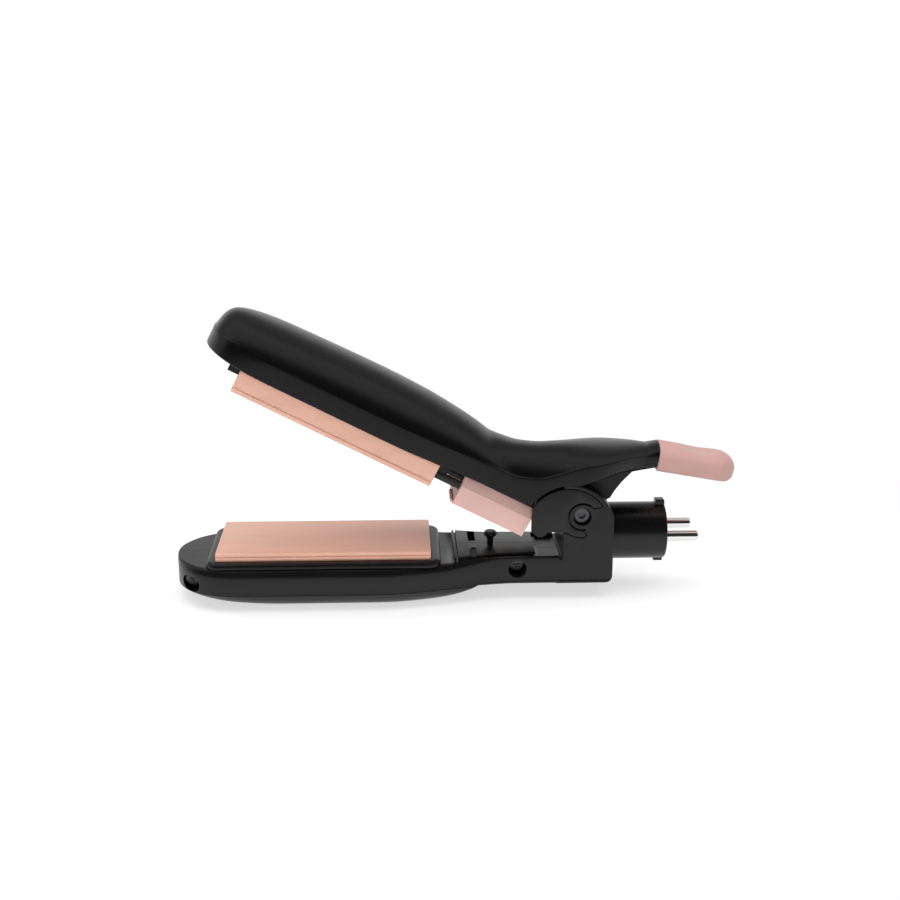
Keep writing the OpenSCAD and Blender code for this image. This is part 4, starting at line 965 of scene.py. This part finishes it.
class WAVER_OT_lock(bpy.types.Operator):
    """Builds the lock peg and its guide stud, and the ridges on the slider's end"""
    bl_idname = "waver.lock"
    bl_label = "Build the lock"

    def execute(self, context):
        peg = [(0.01, -8.9), (2.6, -8.9), (2.6, -7.5), (1.3, -7.5), (1.3, -3.2), (1.55, -2.7), (2.7, -1.4),
               (3.0, -1.05), (3.0, -0.7), (2.8, -0.5), (2.45, -0.42), (2.4, 0.05), (2.2, 0.3), (0.01, 0.4)]
        peg = lathe(peg, (PEG_X, 0, 0), "Z", 48)
        dress(shade(piece("mushroom_peg", peg), 28), "lower_arm", FINISHES["peg"], "black_peg", "lock_peg")
        stud = [(-60.7, -5.9), (-57.9, -5.9), (-57.9, -1.9), (-58.5, -1.3), (-60.1, -1.3), (-60.7, -1.9)]
        stud = extrude(rounded(stud, [0, 0, 0.3, 0.3, 0.3, 0.3], 3), -16.6, -14.35, "Y", 0.3, 2)
        dress(shade(piece("guide_stud", stud), 30), "lower_arm", FINISHES["shell"], "black_plastic")
        soften("lock_slider", 0.45, FINISHES["slider"], 30, 3)
        # a flap with ridges to push the slider by, on the far half of its end, and a lip under the near half
        end, soft, pitch = -64.6, 0.3, sizes().rib_pitch / MM
        parts = [box((end - 1.8, 4.2, -5.2), (end, 13.6, -1.5), soft)]
        for i in range(3):
            y = 5.6 + 2 * i * pitch
            parts.append(box((end - 2.7, y, -4.9), (end - 1.6, y + pitch, -1.8), soft))
        parts.append(box((end - 1.3, -12.9, -8.1), (end, 2.0, -6.9), soft))
        obj = piece("slider_ribs", joined(parts), turned=True)
        dress(shade(obj, 30), "slider", FINISHES["slider"], "pink_slider")
        return {"FINISHED"}


class WAVER_OT_hidden_parts(bpy.types.Operator):
    """Finishes the parts that keep their CAD shape"""
    bl_idname = "waver.hidden_parts"
    bl_label = "Finish the inner parts"

    def execute(self, context):
        soften("upper_plate_carrier", 0.3, FINISHES["frame"])
        finish("upper_frame", FINISHES["frame"])
        finish("cable_sleeve", FINISHES["lead"])
        for n in ("lower_heater", "upper_heater", "lower_thermal_fuse", "upper_thermal_fuse"):
            finish(n, FINISHES["ceramic"])
        for n in ("lower_insulation", "upper_insulation"):
            finish(n, FINISHES["film"])
        for n in ("lower_heater_clip", "upper_heater_clip", "torsion_spring", "plate_springs", "detent_spring"):
            finish(n, FINISHES["steel"])
        for n in ("lower_leads", "upper_leads"):
            finish(n, FINISHES["lead"])
        finish("knuckle_bushes", FINISHES["nylon"])
        for n in ("casing_screws", "cover_screws"):
            finish(n, FINISHES["screw"])
        return {"FINISHED"}


# ---------- stage ----------
FLOOR_Z = -0.0253


def area_light(name, at, aim, size, power):
    """A soft lamp that isn't seen in reflections."""
    data = bpy.data.lights.new(name, "AREA")
    data.shape, data.size, data.size_y, data.energy = "RECTANGLE", size[0], size[1], power
    obj = bpy.data.objects.new(name, data)
    obj.location = at
    obj.rotation_euler = (Vector(aim) - Vector(at)).to_track_quat("-Z", "Y").to_euler()
    obj.visible_glossy = False
    bpy.context.scene.collection.objects.link(obj)


def wired(tree, kind, inputs, **settings):
    """Adds a node. inputs gives, by name or number, a value to set or an output to link."""
    node = tree.nodes.new("ShaderNode" + kind)
    for key, value in settings.items():
        setattr(node, key, value)
    for key, value in inputs.items():
        if isinstance(value, bpy.types.NodeSocket):
            tree.links.new(value, node.inputs[key])
        else:
            node.inputs[key].default_value = value
    return node.outputs


def paper():
    """White paper that keeps the object's shadow near it and is plain white further off, also in reflections."""
    f = Finish("paper").set(roughness=0.9, shine=0.1)
    f.tint((0.93, 0.93, 0.93), (0.95, 0.95, 0.95), f.noise(3, 2.0))
    ray = wired(f.tree, "LightPath", {})
    seen = ray["Is Camera Ray"]
    for key in ("Is Glossy Ray", "Is Transmission Ray"):
        seen = wired(f.tree, "Math", {0: seen, 1: ray[key]}, use_clamp=True)[0]
    away = wired(f.tree, "VectorMath", {0: f.coords, 1: (-0.085, 0.0, FLOOR_Z)}, operation="DISTANCE")["Value"]
    far = wired(f.tree, "MapRange", {"Value": away, "From Min": 0.10, "From Max": 0.30, "To Min": 0.6},
                interpolation_type="SMOOTHSTEP")["Result"]
    share = wired(f.tree, "Math", {0: seen, 1: far}, operation="MULTIPLY")[0]
    white = wired(f.tree, "Emission", {})[0]
    blend = wired(f.tree, "MixShader", {0: share, 1: f.skin.outputs["BSDF"], 2: white})[0]
    f.tree.links.new(blend, f.out.inputs["Surface"])
    return f.material


def studio_world():
    """A studio by its angle over the table: dark in front, a light bank overhead, softer behind it."""
    world = bpy.data.worlds.new("studio")
    world.use_nodes = True
    tree = world.node_tree
    tree.nodes.clear()
    split = wired(tree, "SeparateXYZ", {0: wired(tree, "TexCoord", {})["Generated"]})
    front = wired(tree, "Math", {0: split["Y"], 1: -1.0}, operation="MULTIPLY")[0]
    angle = wired(tree, "Math", {0: split["Z"], 1: front}, operation="ARCTAN2")[0]
    turn = wired(tree, "Math", {0: angle, 1: math.pi}, operation="DIVIDE")[0]
    ramp = tree.nodes.new("ShaderNodeValToRGB")
    tree.links.new(turn, ramp.inputs["Fac"])
    stops = ramp.color_ramp.elements
    stops[0].position, stops[0].color = 0.0, (0.3, 0.3, 0.3, 1)
    stops[1].position, stops[1].color = 1.0, (1, 1, 1, 1)
    # brightness by degrees from the front horizon over the top to the back one
    for degrees, v in ((4, 0.03), (72, 0.03), (84, 1.0), (112, 1.0), (124, 0.35), (148, 0.35), (158, 1.0)):
        stops.new(degrees / 180).color = (v, v, v, 1)
    sky = wired(tree, "Background", {"Color": ramp.outputs["Color"]})[0]
    wired(tree, "OutputWorld", {"Surface": sky})
    return world


def sweep():
    """The floor, which curves up into the backdrop."""
    back, curve, top = 1.5, 0.3, 0.75
    bend = [math.radians(9 * i) for i in range(11)]
    profile = [(-3.0, FLOOR_Z)]
    profile += [(back + curve * math.sin(a), FLOOR_Z + curve * (1 - math.cos(a))) for a in bend]
    profile.append((back + curve, top))
    bm = bmesh.new()
    rows = [[bm.verts.new((x, y, z)) for y, z in profile] for x in (-4.0, 4.0)]
    for i in range(len(profile) - 1):
        bm.faces.new((rows[0][i], rows[1][i], rows[1][i + 1], rows[0][i + 1]))
    mesh = bpy.data.meshes.new("backdrop")
    bm.to_mesh(mesh)
    bm.free()
    for p in mesh.polygons:
        p.use_smooth = True
    mesh.materials.append(paper())
    backdrop = bpy.data.objects.new("backdrop", mesh)
    bpy.context.scene.collection.objects.link(backdrop)


class WAVER_OT_stage(bpy.types.Operator):
    """Sets the floor, the light and the camera"""
    bl_idname = "waver.stage"
    bl_label = "Set the stage"

    def execute(self, context):
        scene = context.scene
        sweep()
        scene.world = studio_world()

        area_light("overhead", (-0.09, -0.15, 1.3), (-0.09, 0, 0), (2.0, 1.6), 24)
        area_light("front_fill", (-0.35, -1.5, 0.6), (-0.09, 0, 0.03), (1.6, 1.0), 14)

        camera_data = bpy.data.cameras.new("camera")
        camera_data.lens, camera_data.sensor_width = 56.0, 36.0
        camera_data.clip_start, camera_data.clip_end = 0.05, 20
        camera = bpy.data.objects.new("camera", camera_data)
        scene.collection.objects.link(camera)
        at, target = Vector((-0.09076, -0.56925, 0.20399)), Vector((-0.06852, 0.0, 0.03673))
        ahead = (target - at).normalized()
        right = ahead.cross(Vector((0, 0, 1))).normalized()
        up = right.cross(ahead)
        roll = math.radians(0.087)
        across = right * math.cos(roll) + up * math.sin(roll)
        upward = up * math.cos(roll) - right * math.sin(roll)
        camera.matrix_world = Matrix.Translation(at) @ Matrix((across, upward, -ahead)).transposed().to_4x4()
        scene.camera = camera
        scene.view_settings.view_transform = "Standard"
        return {"FINISHED"}


class WAVER_PT_panel(bpy.types.Panel):
    """Lists the builders of the waver head"""
    bl_idname = "WAVER_PT_panel"
    bl_label = "Hair waver head"
    bl_space_type = "VIEW_3D"
    bl_region_type = "UI"
    bl_category = "Waver"

    def draw(self, context):
        for group in (context.scene.waver_sizes, context.scene.waver_colours):
            for key in group.__annotations__:
                self.layout.prop(group, key)
        for op in BUILDERS:
            self.layout.operator(op.bl_idname)


BUILDERS = (WAVER_OT_finishes, WAVER_OT_lower_shells, WAVER_OT_lower_tray, WAVER_OT_plates, WAVER_OT_hinge,
            WAVER_OT_cover, WAVER_OT_grip, WAVER_OT_spigot, WAVER_OT_lock, WAVER_OT_hidden_parts,
            WAVER_OT_stage)
CLASSES = (WaverSizes, WaverColours, *BUILDERS, WAVER_PT_panel)


def register():
    for c in CLASSES:
        bpy.utils.register_class(c)
    bpy.types.Scene.waver_sizes = PointerProperty(type=WaverSizes)
    bpy.types.Scene.waver_colours = PointerProperty(type=WaverColours)


def unregister():
    del bpy.types.Scene.waver_colours
    del bpy.types.Scene.waver_sizes
    for c in reversed(CLASSES):
        bpy.utils.unregister_class(c)


def main():
    register()
    for op in BUILDERS:
        group, name = op.bl_idname.split(".")
        getattr(getattr(bpy.ops, group), name)()


if __name__ == "__main__":
    main()
